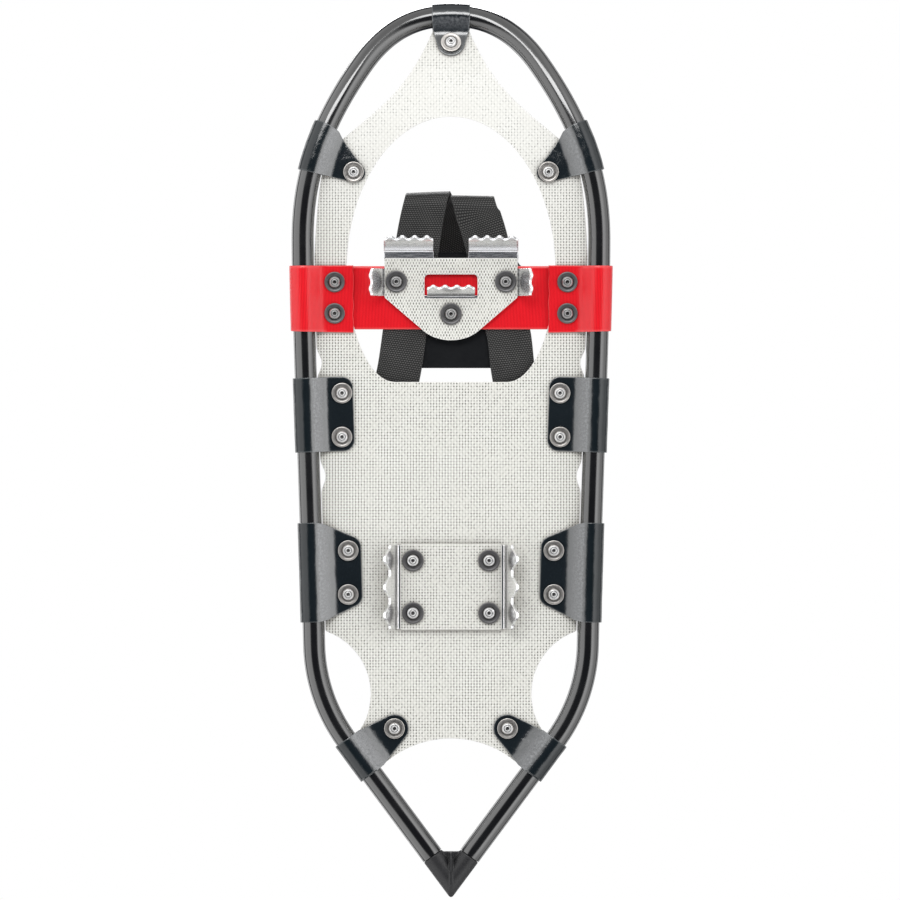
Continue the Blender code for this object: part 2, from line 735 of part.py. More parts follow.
# ---------------------------------------------------------------- pivot strap
def pivot_strap_sides():
    """Frame parts: short flap below, long leg above up to the split."""
    wrap = Wrap(STRAP_T, reach=13.6)
    middle = nearest_run(105.4, PIVOT_Y)
    half = STRAP_W / 2

    def girth_at(x, along):
        """Girth at which the strap reaches x, so that its ends are cut square to X."""
        point, inward = frame_at(middle - along)
        return wrap.girth((point[0] - x) / -inward[0])

    upper_x = STRAP_SPLIT + STRAP_SPLIT_GAP / 2
    upper, lower = girth_at(upper_x, half), girth_at(STRAP_LOWER_END, half)
    outer = [(-lower, half), (upper, half), (girth_at(upper_x, -half), -half),
             (-girth_at(STRAP_LOWER_END, -half), -half)]
    spots = [(inward, middle - run) for run, inward in (locate(*at) for at in PIVOT_RIVETS)]
    for side, word in SIDES:
        sheet(f"pivot_strap_{word}", outer, wrap_holes(wrap, spots), wrap.place(middle, side),
              STRAP_T, RED, cuts_x=[cut for cut in wrap.cuts if -lower + 0.5 < cut < upper - 0.5],
              cuts_y=line_cuts(middle, half))
    side_rivets("pivot", PIVOT_RIVETS, *clamped(STRAP_T))


def level(middle_y, height):
    """Placement of a flat sheet drawn about y = middle_y."""
    return lambda x, y: ((x, y + middle_y, height), (0, 0, 1))


def toe_crampon_holes(middle_x=0.0):
    """Rivet holes of the binding's layers, drawn about the pivot line."""
    return [round_hole(x - middle_x, y - PIVOT_Y, SHANK_HOLE) for x, y in TOE_CRAMPON_RIVETS]


def pivot_strap_centre():
    end, half = STRAP_SPLIT - STRAP_SPLIT_GAP / 2, STRAP_W / 2
    sheet("pivot_strap_centre", [(-end, -half), (end, -half), (end, half), (-end, half)],
          toe_crampon_holes(), level(PIVOT_Y, PIVOT_Z), STRAP_T, RED)


# ---------------------------------------------------------------- crampons
CRAMPON_BEND = math.radians(66)
BEND_R = 3.0
BEND_ARC = BEND_R * CRAMPON_BEND
BEND_CREASES = [0.0, BEND_ARC / 3, 2 * BEND_ARC / 3, BEND_ARC]

TOE_SIDE = 47.0                        # the toe plate's sides bend down past this x
TOE_FRONT = 142.0 - PIVOT_Y            # and its front past this, from the pivot line
# window in the toe plate, from the pivot line
WINDOW_HALF = 19.0
WINDOW_FRONT = 16.6
WINDOW_REAR = 1.6

HEEL_MID_Y = -98.6
HEEL_HALF_LENGTH = 30.2
HEEL_SIDE = 37.2                       # the heel plate's sides bend down past this x


def flange_length(height):
    """Flat length of a flange, bend included, whose tips touch z = 0 from a plate height."""
    drop = height - PLATE_T / 2 * math.cos(CRAMPON_BEND)
    bend_drop = BEND_R * (1 - math.cos(CRAMPON_BEND))
    return BEND_ARC + (drop - bend_drop) / math.sin(CRAMPON_BEND)


def plate_place(middle_y, height, side_bend, front_bend=math.inf):
    """A plate whose sides turn down past +-side_bend, and its front past front_bend."""
    def place(x, y):
        if y > front_bend:
            out, drop, slope = fold(y - front_bend, BEND_R, CRAMPON_BEND)
            return ((x, front_bend + out + middle_y, height - drop),
                    (0, math.sin(slope), math.cos(slope)))
        if abs(x) > side_bend:
            out, drop, slope = fold(abs(x) - side_bend, BEND_R, CRAMPON_BEND)
            side = 1 if x > 0 else -1
            return ((side * (side_bend + out), y + middle_y, height - drop),
                    (side * math.sin(slope), 0, math.cos(slope)))
        return (x, y + middle_y, height), (0, 0, 1)
    return place


def toe_crampon():
    tooth = 3.2
    reach = flange_length(TOE_PLATE_Z) - tooth         # to the roots of the teeth
    # outline about the pivot line, counter-clockwise from the front right
    front = [(48.4, TOE_FRONT - 5.0), (48.4, TOE_FRONT + 1.0)]
    front += wave(48.4, 12.6, TOE_FRONT + reach, tooth, 4)
    front += [(12.6, TOE_FRONT - 3.0), (10.5, TOE_FRONT - 5.2)]
    left = [(-TOE_SIDE - 0.4, 21.0)]
    left += [(-out, y) for y, out in wave(20.6, 1.6, TOE_SIDE + reach, tooth, 2)]
    left += [(-TOE_SIDE - 0.4, 1.2), (-TOE_SIDE, 0.0), (-21.0, -21.5), (-14.0, -25.8),
             (-5.0, -28.2)]
    window = [(-WINDOW_HALF, WINDOW_REAR), (-WINDOW_HALF, WINDOW_FRONT - 2.5),
              (-WINDOW_HALF + 2.5, WINDOW_FRONT)]
    plate = sheet("toe_crampon", front + mirrored(front) + left + mirrored(left),
                  [window + mirrored(window)] + toe_crampon_holes(),
                  plate_place(PIVOT_Y, TOE_PLATE_Z, TOE_SIDE, TOE_FRONT), PLATE_T, ALLOY,
                  cuts_x=[side * (TOE_SIDE + cut) for side in (1, -1) for cut in BEND_CREASES[1:]],
                  cuts_y=[TOE_FRONT + cut for cut in BEND_CREASES])
    unite(plate, toe_bar(), "bar")


def toe_bar():
    """Tooth bar bent down from the window's rear edge, one piece with the plate."""
    half, length, tooth, root, bend_r = 17.2, 16.6, 3.0, -0.8, 2.2
    bend_arc = bend_r * CRAMPON_BEND

    def place(x, y):
        out, drop, slope = fold(y, bend_r, CRAMPON_BEND)
        return ((x, PIVOT_Y + WINDOW_REAR - 1.2 + out, TOE_PLATE_Z - drop),
                (0, math.sin(slope), math.cos(slope)))
    outline = [(-half, root)] + wave(-half, half, length - tooth, tooth, 4) + [(half, root)]
    # slightly thinner than the plate, so that no faces coincide in the boolean
    return sheet("cut_toe_bar", outline, [], place, PLATE_T - 0.02, ALLOY,
                 cuts_y=[0.0, bend_arc / 2, bend_arc])


def toe_crampon_patch():
    """A shield of deck cloth with a window like the plate's."""
    right = [(47.4, 28.0), (47.4, 2.0), (20.8, -20.6), (14.5, -25.4), (7.5, -28.4)]
    window = [(-19.2, WINDOW_REAR - 1.9), (-19.2, WINDOW_FRONT - 2.3),
              (-16.5, WINDOW_FRONT + 0.2)]
    sheet("toe_crampon_patch", right + [(0.0, -29.4)] + mirrored(right),
          [window + mirrored(window)] + toe_crampon_holes(),
          level(PIVOT_Y, TOE_PATCH_Z), PATCH_T, FABRIC)


def toe_crampon_rivets():
    low = TOE_PATCH_Z - PATCH_T / 2 - DECK_Z
    high = FOOTBED_Z + FOOTBED_T / 2 - DECK_Z
    for (x, y), word in zip(TOE_CRAMPON_RIVETS, ("right", "left", "rear")):
        rivet(f"toe_crampon_rivet_{word}", x, y, low, high, CRAMPON_WASHER_R,
              TOE_CRAMPON_HEAD_R, DARK_STEEL)


def heel_crampon():
    """A channel with three deep teeth a side, its cloth patch and its rivets."""
    tooth = 9.0
    side, half = HEEL_SIDE, HEEL_HALF_LENGTH
    root = side + flange_length(HEEL_PLATE_Z) - tooth
    right = [(x, y) for y, x in wave(-half, half, root, tooth, 3)]
    left = [(-x, -y) for x, y in right]
    outline = [(side, half), (-side, half)] + left + [(-side, -half), (side, -half)] + right
    holes = [round_hole(sign * x, y - HEEL_MID_Y, SHANK_HOLE)
             for x, y in HEEL_RIVETS for sign in (1, -1)]
    sheet("heel_crampon", outline, holes, plate_place(HEEL_MID_Y, HEEL_PLATE_Z, side),
          PLATE_T, ALLOY, cuts_x=[sign * (side + cut) for sign in (1, -1) for cut in BEND_CREASES])
    sheet("heel_crampon_patch", [(36.4, 28.6), (-36.4, 28.6), (-36.4, -29.0), (36.4, -29.0)],
          holes, level(HEEL_MID_Y, HEEL_PATCH_Z), PATCH_T, FABRIC)
    side_rivets("heel_crampon", HEEL_RIVETS, HEEL_PATCH_Z - PATCH_T / 2 - DECK_Z, DECK_T / 2,
                washer_r=CRAMPON_WASHER_R, mat=DARK_STEEL)


# ---------------------------------------------------------------- footbed with two side wings
FOOT_LEFT = -61.5        # outer faces of the wings
FOOT_RIGHT = 50.5
FOOT_MID = (FOOT_LEFT + FOOT_RIGHT) / 2
WING_LEAN = math.radians(10)           # the wings lean in over the foot
WING_R = 6.0
WING_BEND = math.pi / 2 + WING_LEAN
WING_START = (FOOT_RIGHT - FOOT_LEFT) / 2 - FOOTBED_T / 2 - WING_R
WING_ARC = WING_R * WING_BEND
WING_HALF = 19.0
BUCKLE_UP = 32.5                       # buckle centre above the end of the wing's bend


def footbed():
    front, rear = 142.5 - PIVOT_Y, 59.0 - PIVOT_Y
    start, half = WING_START, WING_HALF
    tip = start + WING_ARC + 43.0
    holes = toe_crampon_holes(FOOT_MID)
    holes += [round_hole(side * (start + WING_ARC + BUCKLE_UP), 0.0, 2.0, 6) for side in (1, -1)]

    def place(x, y):
        """Wings turn up; the plate ahead of them and behind them stays flat."""
        if abs(x) > start and abs(y) <= half + 0.01:
            out, rise, slope = fold(abs(x) - start, WING_R, WING_BEND)
            side = 1 if x > 0 else -1
            return ((FOOT_MID + side * (start + out), y + PIVOT_Y, FOOTBED_Z + rise),
                    (-side * math.sin(slope), 0, math.cos(slope)))
        return (x + FOOT_MID, y + PIVOT_Y, FOOTBED_Z), (0, 0, 1)

    # x, y, corner radius; the plate is no wider than the wings' bend lines, so nothing tears
    outline = round_corners([
        (start, front, 8), (-start + 17.0, front, 8), (-start, half + 1.5, 0), (-start, half, 0),
        (-tip, half, 8), (-tip, -half, 8), (-start, -half, 0),
        (-start, rear, 8), (start, rear, 8), (start, -half, 0),
        (tip, -half, 8), (tip, half, 8), (start, half, 0)])
    cuts = [side * (start + WING_ARC * k / 5) for side in (1, -1) for k in range(6)]
    sheet("footbed", outline, holes, place, FOOTBED_T, PLASTIC, cuts_x=cuts, cuts_y=[-23.0])


# ---------------------------------------------------------------- webbing along a path
class Strip:
    """Webbing through mid-line points, with a face normal given at each."""

    def __init__(self, points, normals):
        self.points = np.array(points, float)
        _, self.run, dirs = measure(self.points)
        across, stretched = [], []
        for i, normal in enumerate(normals):
            before, after = dirs[max(i - 1, 0)], dirs[min(i, len(dirs) - 1)]
            tangent = unit(before + after)
            normal = np.array(normal, float)
            normal = unit(normal - tangent * float(normal @ tangent))
            stretch = 1 / math.sqrt(max(0.5, (1 + float(before @ after)) / 2))
            stretched.append(normal * stretch)
            across.append(np.cross(normal, tangent))
        self.normals, self.across = np.array(stretched), np.array(across)

    def place(self, along, aside):
        point = lookup(along, self.run, self.points)
        return (point + lookup(along, self.run, self.across) * aside,
                lookup(along, self.run, self.normals))

    def hole(self, x, y):
        """A rivet hole at plan position x, y on the flat part under the foot."""
        target = np.array((x, y))
        best_gap, best = math.inf, None
        for i, (start, end) in enumerate(zip(self.points, self.points[1:])):
            if abs(start[2] - WEB_Z) > 0.2 or abs(end[2] - WEB_Z) > 0.2:
                continue
            step = (end - start)[:2]
            part = np.clip((target - start[:2]) @ step / (step @ step), 0, 1)
            offset = target - (start[:2] + step * part)
            gap = math.hypot(*offset)
            if gap < best_gap:
                along = self.run[i] + part * (self.run[i + 1] - self.run[i])
                best_gap, best = gap, (along, float(offset @ self.across[i][:2]))
        return round_hole(*best, SHANK_HOLE)


def webbing(name, strip, start_y, holes=()):
    """A length of webbing whose first end is cut along X at start_y."""
    length, half = strip.run[-1], WEB_W / 2
    tangent = unit(strip.points[1] - strip.points[0])
    left, right = [(start_y - strip.points[0][1] - aside * strip.across[0][1]) / tangent[1]
                   for aside in (-half, half)]
    sheet(name, [(left, -half), (length, -half), (length, half), (right, half)], list(holes),
          strip.place, WEB_T, WEBBING, cuts_x=list(strip.run[1:-1]))


# ---------------------------------------------------------------- cam buckles
STRAP_OFF = 5.6          # webbing's mid-line above the face the buckle sits on
PIN_OFF = 10.5           # cam pin above that face
PIN_R = 1.5
PIN_HALF = 20.3
CAM_R = 3.6
LEVER_W = 30.0
BUCKLE_T = 1.5
BUCKLE_OFF = GAP + BUCKLE_T / 2        # mid-plane of the buckle's base above that face
BUCKLE_TURN = math.radians(30)         # toe buckles turn this far forward from upright
BUCKLE_RIVET_R = 1.6


class BuckleFrame:
    """Axes of a buckle: out of its base, along the strap and across it."""

    def __init__(self, centre, out, along):
        self.centre, self.out, self.along = centre, out, along
        self.across = np.cross(out, along)

    def at(self, along, out, across=0.0):
        return self.centre + self.along * along + self.out * out + self.across * across


def wing_frame(side):
    """Frame of the toe buckle on the outer face of a wing."""
    up = np.array((-side * math.sin(WING_LEAN), 0, math.cos(WING_LEAN)))
    out = np.array((side * math.cos(WING_LEAN), 0, math.sin(WING_LEAN)))
    reach, rise, _ = fold(WING_ARC, WING_R, WING_BEND)
    bend_end = np.array((FOOT_MID + side * (WING_START + reach), PIVOT_Y, FOOTBED_Z + rise))
    centre = bend_end + out * FOOTBED_T / 2 + up * BUCKLE_UP
    along = up * math.cos(BUCKLE_TURN) + np.array((0, 1, 0)) * math.sin(BUCKLE_TURN)
    return BuckleFrame(centre, out, along)


def axis_empty(name, position, children):
    """An empty on a joint's axis, with the pieces that turn about it as children."""
    empty = bpy.data.objects.new(name, None)
    empty.location = [value * METRES for value in position]
    empty.empty_display_size = 0.02
    bpy.context.scene.collection.objects.link(empty)
    bpy.context.view_layer.update()
    for child_name in children:
        child = bpy.data.objects[child_name]
        child.parent = empty
        child.matrix_parent_inverse = empty.matrix_world.inverted()


def buckle(kind, frame, base_front, base_holes):
    """Base with two cheeks, a pin and a cam lever; base holes are drawn (across, along)."""
    half, bend_r = 17.0, 1.5
    bend_arc = bend_r * math.pi / 2
    cheek = half + bend_arc + 11.2
    rear = -12.0

    def base_place(across, along):
        out, rise, slope = fold(abs(across) - half, bend_r, math.pi / 2)
        side = 1 if across > 0 else -1
        return (frame.at(along, BUCKLE_OFF + rise, side * (half + out)),
                frame.out * math.cos(slope) - frame.across * side * math.sin(slope))

    outline = [(cheek, -8.0), (cheek, 8.0), (half, 10.0), (half, base_front),
               (-half, base_front), (-half, 10.0), (-cheek, 8.0), (-cheek, -8.0),
               (-half, -10.0), (-half, rear), (half, rear), (half, -10.0)]
    pin_at = half + bend_arc + (PIN_OFF - BUCKLE_OFF - bend_r)
    holes = [round_hole(side * pin_at, 0, PIN_R + GAP) for side in (1, -1)] + base_holes
    sheet(f"{kind}_buckle", outline, holes, base_place, BUCKLE_T, BUCKLE,
          cuts_x=[side * (half + bend_arc * k / 2) for side in (1, -1) for k in range(3)])

    rings = [[frame.at(along, PIN_OFF + out, end) for along, out in circle(PIN_R)]
             for end in (-PIN_HALF, PIN_HALF)]
    loft(f"{kind}_buckle_pin", rings, STEEL)

    # cam and lever in one moulding, drawn (along, out) about the pin
    profile = arc(0, 0, CAM_R, math.radians(90), math.radians(330), 8)
    profile += [(5.0, -1.4), (14.0, 0.6), (23.0, 2.6), (24.0, 4.6), (22.4, 5.2), (14.0, 3.2),
                (5.0, 2.8)]
    sheet(f"{kind}_buckle_lever", profile, [round_hole(0, 0, PIN_R + GAP)],
          lambda along, out: (frame.at(along, PIN_OFF + out), frame.across), LEVER_W, BUCKLE)
    axis_empty(f"{kind}_lever_axis", frame.at(0, PIN_OFF), [f"{kind}_buckle_lever"])


def toe_buckles():
    # radius, distance out: head inside the wing, shank, head under the webbing
    profile = [(4.2, -4.4), (4.2, -3.3), (BUCKLE_RIVET_R, -3.3), (BUCKLE_RIVET_R, 2.1),
               (3.4, 2.1), (3.4, 2.9)]
    for side, word in SIDES:
        frame = wing_frame(side)
        buckle(f"toe_{word}", frame, 12.0, [round_hole(0, 0, BUCKLE_RIVET_R + GAP, 6)])
        rings = [[frame.at(along, out, across) for across, along in circle(radius)]
                 for radius, out in profile]
        loft(f"toe_{word}_buckle_rivet", rings, STEEL)


# ---------------------------------------------------------------- harness straps
# Each runs forward under the foot from the rear, round the toe and over the boot to the
# buckle on the other side.
# name: buckle side, crampon rivet, plan points under the foot,
# rows of (x, y, z, outward normal, depth sunk towards the boot) over the toe
HARNESS_STRAPS = {
    "harness_strap_right": (
        -1, TOE_CRAMPON_RIVETS[0],
        [(39.7, 41.0), (33.1, 86.4), (26.8, 130.0), (19.1, 176.0)],
        [(17.6, 181.8, 27.4, (0, .6, -.8), 0.0),
         (16.6, 184.9, 35.0, (0, 1, -.2), 0.0),
         (15.3, 183.4, 48.0, (0, 1, .1), 0.0),
         (11.5, 176.0, 64.0, (0, .85, .5), 0.0),
         (2.0, 164.5, 79.0, (0, .6, .8), 0.0),
         (-15.0, 151.0, 90.0, (0, .35, .93), 0.0),
         (-35.0, 138.0, 95.0, (-.35, .15, .92), 0.0),
         (-51.0, 126.5, 90.5, (-.82, .1, .57), 0.0)]),
    # sunk so that it passes under the other strap
    "harness_strap_left": (
        1, TOE_CRAMPON_RIVETS[1],
        [(-46.6, 41.0), (-40.9, 86.4), (-28.6, 130.0), (-18.0, 173.5)],
        [(-15.6, 181.8, 27.4, (0, .6, -.8), 1.2),
         (-15.2, 184.9, 35.0, (0, 1, -.2), 2.4),
         (-14.4, 183.4, 48.0, (0, 1, .1), 3.6),
         (-10.0, 176.0, 64.0, (0, .85, .5), 5.0),
         (-2.0, 164.5, 79.0, (0, .6, .8), 6.2),
         (11.0, 151.0, 90.0, (0, .35, .93), 6.4),
         (27.0, 138.0, 95.0, (.35, .15, .92), 4.8),
         (40.5, 126.5, 90.5, (.82, .1, .57), 1.0)]),
}


def harness_straps():
    for name, (side, rivet_place, under, over) in HARNESS_STRAPS.items():
        frame = wing_frame(side)
        points = [(x, y, WEB_Z) for x, y in under]
        normals = [(0, 0, -1)] * len(under)
        for x, y, z, normal, depth in over:
            normal = unit(normal)
            points.append(np.array((x, y, z)) - normal * depth)
            normals.append(normal)
        for along in (15.0, -21.0):            # down through the buckle
            points.append(frame.at(along, STRAP_OFF))
            normals.append(frame.out)
        steps = [1] * (len(under) - 1) + [2] * (len(over) + 1) + [1]
        strip = Strip(catmull(points, steps), catmull(normals, steps))
        webbing(name, strip, HEEL_AXIS_Y + HEEL_GAP, [strip.hole(*rivet_place)])


# ---------------------------------------------------------------- heel strap
# From the hinge on the right, round behind the heel, to the buckle on the left:
# mid-line point, outward normal, steps to the next point
HEEL_PATH = [
    ((39.0, 49.0, 25.0), (0, 0, -1), 1), ((40.4, 37.0, 26.2), (.12, 0, -1), 2),
    ((43.0, 19.0, 34.5), (.75, 0, -.66), 2), ((44.6, 0.0, 45.5), (1, 0, -.1), 1),
    ((43.6, -30.0, 57.0), (1, 0, 0), 1), ((40.8, -60.0, 65.0), (.98, -.2, 0), 2),
    ((34.0, -86.0, 71.0), (.8, -.6, 0), 2), ((19.0, -102.0, 74.5), (.45, -.9, 0), 2),
    ((0.0, -107.0, 75.5), (0, -1, 0), 2), ((-19.0, -102.5, 74.5), (-.45, -.9, 0), 2),
    ((-34.5, -88.0, 71.0), (-.8, -.6, 0), 2), ((-44.5, -66.0, 65.5), (-.97, -.25, 0), 1),
    ((-49.6, -44.0, 59.3), (-1, -.06, 0), 1), ((-51.2, -10.0, 49.7), (-1, -.04, 0), 1),
    ((-51.8, 8.0, 44.6), (-1, -.02, 0), 0)]


def heel_frame():
    """Frame of the buckle on the straight left-hand run of the heel strap."""
    start, end = np.array(HEEL_PATH[12][0]), np.array(HEEL_PATH[13][0])
    along = unit(end - start)
    out = np.array((-1.0, -.05, 0.0))
    out = unit(out - along * float(out @ along))
    return BuckleFrame(start + (end - start) * 0.42 - out * STRAP_OFF, out, along)


def heel_strap():
    points, normals, steps = zip(*HEEL_PATH)
    strip = Strip(catmull(points, steps[:-1]), catmull(normals, steps[:-1]))
    webbing("heel_strap", strip, HEEL_AXIS_Y - HEEL_GAP)


def heel_buckle():
    slot = [(-16.4, 15.2), (16.4, 15.2), (16.4, 18.0), (-16.4, 18.0)]
    buckle("heel", heel_frame(), 22.0, [slot])


def heel_strap_anchor():
    """Short strap from the hinge to the buckle's bar, folded back on itself."""
    frame = heel_frame()
    bar_along, bar_out, loop_r = 18.5, 1.05, 1.95      # the fold round the bar
    lead = [((-45.9, 49.0, 25.0), (0, 0, -1)), ((-45.6, 37.0, 26.2), (-.12, 0, -1)),
            ((-45.2, 21.0, 33.0), (-.7, 0, -.7)), (frame.at(48, -0.9), frame.out)]
    lead_points, lead_normals = zip(*lead)
    steps = [1, 2, 2]
    points = list(catmull(lead_points, steps)[:-1])
    normals = list(catmull(lead_normals, steps)[:-1])
    points += [frame.at(44.0, -0.9), frame.at(bar_along, -0.9)]
    normals += [frame.out] * 2
    for k in (1, 2, 3):
        angle = math.radians(-90 - 45 * k)
        points.append(frame.at(bar_along + loop_r * math.cos(angle),
                               bar_out + loop_r * math.sin(angle)))
        normals.append(-frame.along * math.cos(angle) - frame.out * math.sin(angle))
    for along, out in ((bar_along, 3.0), (22.5, 3.0), (26.5, 1.15), (42.0, 1.15)):
        points.append(frame.at(along, out))
        normals.append(-frame.out)
    webbing("heel_strap_anchor", Strip(points, normals), HEEL_AXIS_Y - HEEL_GAP)


# ---------------------------------------------------------------- joint axes
def joint_axes():
    binding = ["pivot_strap_centre", "toe_crampon", "toe_crampon_patch", "footbed",
               "toe_crampon_rivet_right", "toe_crampon_rivet_left", "toe_crampon_rivet_rear",
               "harness_strap_right", "harness_strap_left"]
    for _, word in SIDES:
        binding += [f"toe_{word}_buckle{part}" for part in ("", "_pin", "_rivet")]
    axis_empty("binding_axis", (0, PIVOT_Y, PIVOT_Z), binding)
    axis_empty("heel_axis", (0, HEEL_AXIS_Y, HEEL_AXIS_Z),
               ["heel_strap", "heel_strap_anchor", "heel_buckle", "heel_buckle_pin"])


# ---------------------------------------------------------------- build
frame_tube()
tail_cap()
deck()
toe_tab()
front_tabs()
mid_tabs()
rear_tabs()
tail_tabs()
pivot_strap_sides()
pivot_strap_centre()
toe_crampon()
toe_crampon_patch()
toe_crampon_rivets()
heel_crampon()
footbed()
harness_straps()
toe_buckles()
heel_strap()
heel_buckle()
heel_strap_anchor()
joint_axes()
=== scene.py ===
# The finished look of a snowshoe: every CAD node is replaced by a finer piece built from
# the same outlines.  The shoe lies level with its toe towards +Y, turned up, and its
# crampons point down (-Z).  "Right" is +X.  Lengths are in millimetres and become metres
# when a mesh is made.
import math

import bpy
import numpy as np
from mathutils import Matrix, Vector
from mathutils.geometry import delaunay_2d_cdt


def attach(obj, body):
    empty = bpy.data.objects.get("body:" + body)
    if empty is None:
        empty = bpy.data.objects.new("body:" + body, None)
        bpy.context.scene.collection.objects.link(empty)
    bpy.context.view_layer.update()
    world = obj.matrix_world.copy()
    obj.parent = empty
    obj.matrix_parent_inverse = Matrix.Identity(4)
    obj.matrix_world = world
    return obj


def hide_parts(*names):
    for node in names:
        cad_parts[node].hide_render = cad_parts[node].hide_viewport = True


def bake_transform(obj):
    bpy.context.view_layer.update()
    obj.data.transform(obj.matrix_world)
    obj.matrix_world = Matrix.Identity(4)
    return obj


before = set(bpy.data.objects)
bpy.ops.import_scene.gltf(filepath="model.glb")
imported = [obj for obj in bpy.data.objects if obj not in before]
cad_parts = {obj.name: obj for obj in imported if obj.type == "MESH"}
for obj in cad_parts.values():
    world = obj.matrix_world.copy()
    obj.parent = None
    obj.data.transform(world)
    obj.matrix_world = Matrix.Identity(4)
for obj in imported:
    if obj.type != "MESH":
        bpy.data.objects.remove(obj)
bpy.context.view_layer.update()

COLLECTION = bpy.context.scene.collection

# ================================================================ dimensions
GAP = 0.3                                   # clearance between neighbouring pieces
TUBE_RADIUS, TUBE_WALL, TUBE_SIDES = 7.95, 1.6, 48
DECK_Z, DECK_THICK = 21.5, 1.0              # Z values are mid-planes
TAB_THICK, STRAP_THICK, STRAP_WIDTH = 1.3, 1.5, 45.5
WEB_THICK, WEB_WIDTH, WEB_Z = 1.8, 31.75, 25.0
PIVOT_Y, PIVOT_Z = 109.6, 23.05             # red strap

# the toe turns up from UP_Y round UP_RADIUS through UP_ANGLE
UP_Y, UP_RADIUS, UP_ANGLE = 200.0, 230.0, math.radians(26)

# right half of the tube's centreline, seen from above
APEX_Y = 313.2
SHOULDER, SHOULDER_ANGLE = (63.2, 278.9), math.radians(55.0)
WIDEST, WAIST = (106.8, 151.2), (98.6, -137.0)
CORNER, CORNER_RADIUS = (97.5, -178.9), 120.0
TAIL_END, TAIL_SLOPE = (13.4, -292.0), 0.744

# opening in the deck under the toe
HOLE_HALF, HOLE_Y, HOLE_FRONT, HOLE_BACK = 75.2, 129.0, 111.0, 49.0

TOE_PLATE_Z, TOE_PATCH_Z = 21.0, 19.2
HEEL_PLATE_Z, HEEL_PATCH_Z = 19.7, 17.9
PLATE_THICK, PATCH_THICK = 2.0, 1.0
FOLD_RADIUS, FOLD_ANGLE = 3.0, math.radians(66)     # where crampon sides turn down
FOOTBED_Z, FOOTBED_THICK = 27.7, 3.0
FOOT_LEFT, FOOT_RIGHT, WING_LEAN = -61.5, 50.5, math.radians(10)

WEAVE = 2.08             # pitch of the deck cloth
PICK = 1.5               # pitch of the webbing's cross ribs
RIB = 1.05               # pitch of the red strap's ribs

RIVET_SHANK, WASHER_RADIUS, CRAMPON_WASHER_RADIUS = 2.4, 7.4, 7.8
SHANK_HOLE = RIVET_SHANK + GAP
# rivet places on the right side, mirrored to the left
TAB_RIVETS = {"front": [(70.2, 200.2)], "mid": [(78.5, 41.0), (78.5, 9.4)],
              "rear": [(74.0, -72.4), (74.0, -104.0)], "tail": [(40.7, -200.5)]}
PIVOT_RIVETS = [(83.8, PIVOT_Y + 11.3), (83.8, PIVOT_Y - 11.3)]
HEEL_RIVETS = [(27.4, -79.6), (27.4, -117.4)]
# rivets given in full
TOE_RIVET = (0.0, 293.0)
TOE_CRAMPON_RIVETS = [(39.4, 121.2), (-39.4, 121.2), (0.0, 97.9)]    # right, left, rear
SIDES = ((1, "right"), (-1, "left"))
ENDS = ("front", "rear")


# ================================================================ plane geometry
def unit(vector):
    vector = np.array(vector, float)
    return vector / np.linalg.norm(vector)


def unit_rows(vectors):
    return vectors / np.linalg.norm(vectors, axis=-1)[..., None]


def bezier(start, pull_start, pull_end, end, count):
    """Points of a cubic curve, without its start."""
    out = []
    for k in range(1, count + 1):
        s = k / count
        out.append(tuple((1 - s) ** 3 * a + 3 * (1 - s) ** 2 * s * b + 3 * (1 - s) * s * s * c
                         + s ** 3 * d for a, b, c, d in zip(start, pull_start, pull_end, end)))
    return out


def arc(x, y, radius, first, last, count=24):
    angles = [first + (last - first) * k / count for k in range(count + 1)]
    return [(x + radius * math.cos(a), y + radius * math.sin(a)) for a in angles]


def circle(x, y, radius, count=24):
    return arc(x, y, radius, 0.0, 2 * math.pi, count)[:-1]


def mirrored(points):
    return [(-x, y) for x, y in points][::-1]


def refine(loop, step):
    """The same closed outline with no edge longer than step."""
    out = []
    for start, end in zip(loop, list(loop[1:]) + [loop[0]]):
        start, end = np.array(start, float), np.array(end, float)
        count = max(1, int(math.ceil(np.linalg.norm(end - start) / step)))
        out += [tuple(start + (end - start) * k / count) for k in range(count)]
    return out


def round_corners(points, radii, count=10):
    """Round each corner; radii is one radius, or one for each corner."""
    out = []
    for i in range(len(points)):
        before, corner, after = (np.array(points[k % len(points)], float)
                                 for k in (i - 1, i, i + 1))
        radius = radii[i] if isinstance(radii, list) else radii
        if not radius:
            out.append(tuple(corner))
            continue
        to_before, to_after = unit(before - corner), unit(after - corner)
        angle = math.acos(max(-1, min(1, float(to_before @ to_after))))
        cut = radius / math.tan(angle / 2)
        centre = corner + unit(to_before + to_after) * radius / math.sin(angle / 2)
        first = math.atan2(*(corner + to_before * cut - centre)[::-1])
        last = math.atan2(*(corner + to_after * cut - centre)[::-1])
        while last - first > math.pi:
            last -= 2 * math.pi
        while first - last > math.pi:
            last += 2 * math.pi
        out += arc(centre[0], centre[1], radius, first, last, count)
    return out


def around(count, shift=0.0):
    return 2 * math.pi * (np.arange(count) + shift) / count


def hoop(centre, cos_axis, sin_axis, radius, count):
    """A circle of points in space."""
    angles = around(count)[:, None]
    return centre + cos_axis * (radius * np.cos(angles)) + sin_axis * (radius * np.sin(angles))


def measure(points):
    """Running length and unit direction at each point of an open line."""
    steps = np.diff(points, axis=0)
    lengths = np.linalg.norm(steps, axis=1)
    run = np.concatenate([[0], np.cumsum(lengths)])
    steps = steps / lengths[:, None]
    return run, unit_rows(np.concatenate([steps[:1], steps[:-1] + steps[1:], steps[-1:]]))


def lookup(at, run, table):
    """Rows of a table read at running lengths."""
    return np.stack([np.interp(at, run, column) for column in table.T], -1)


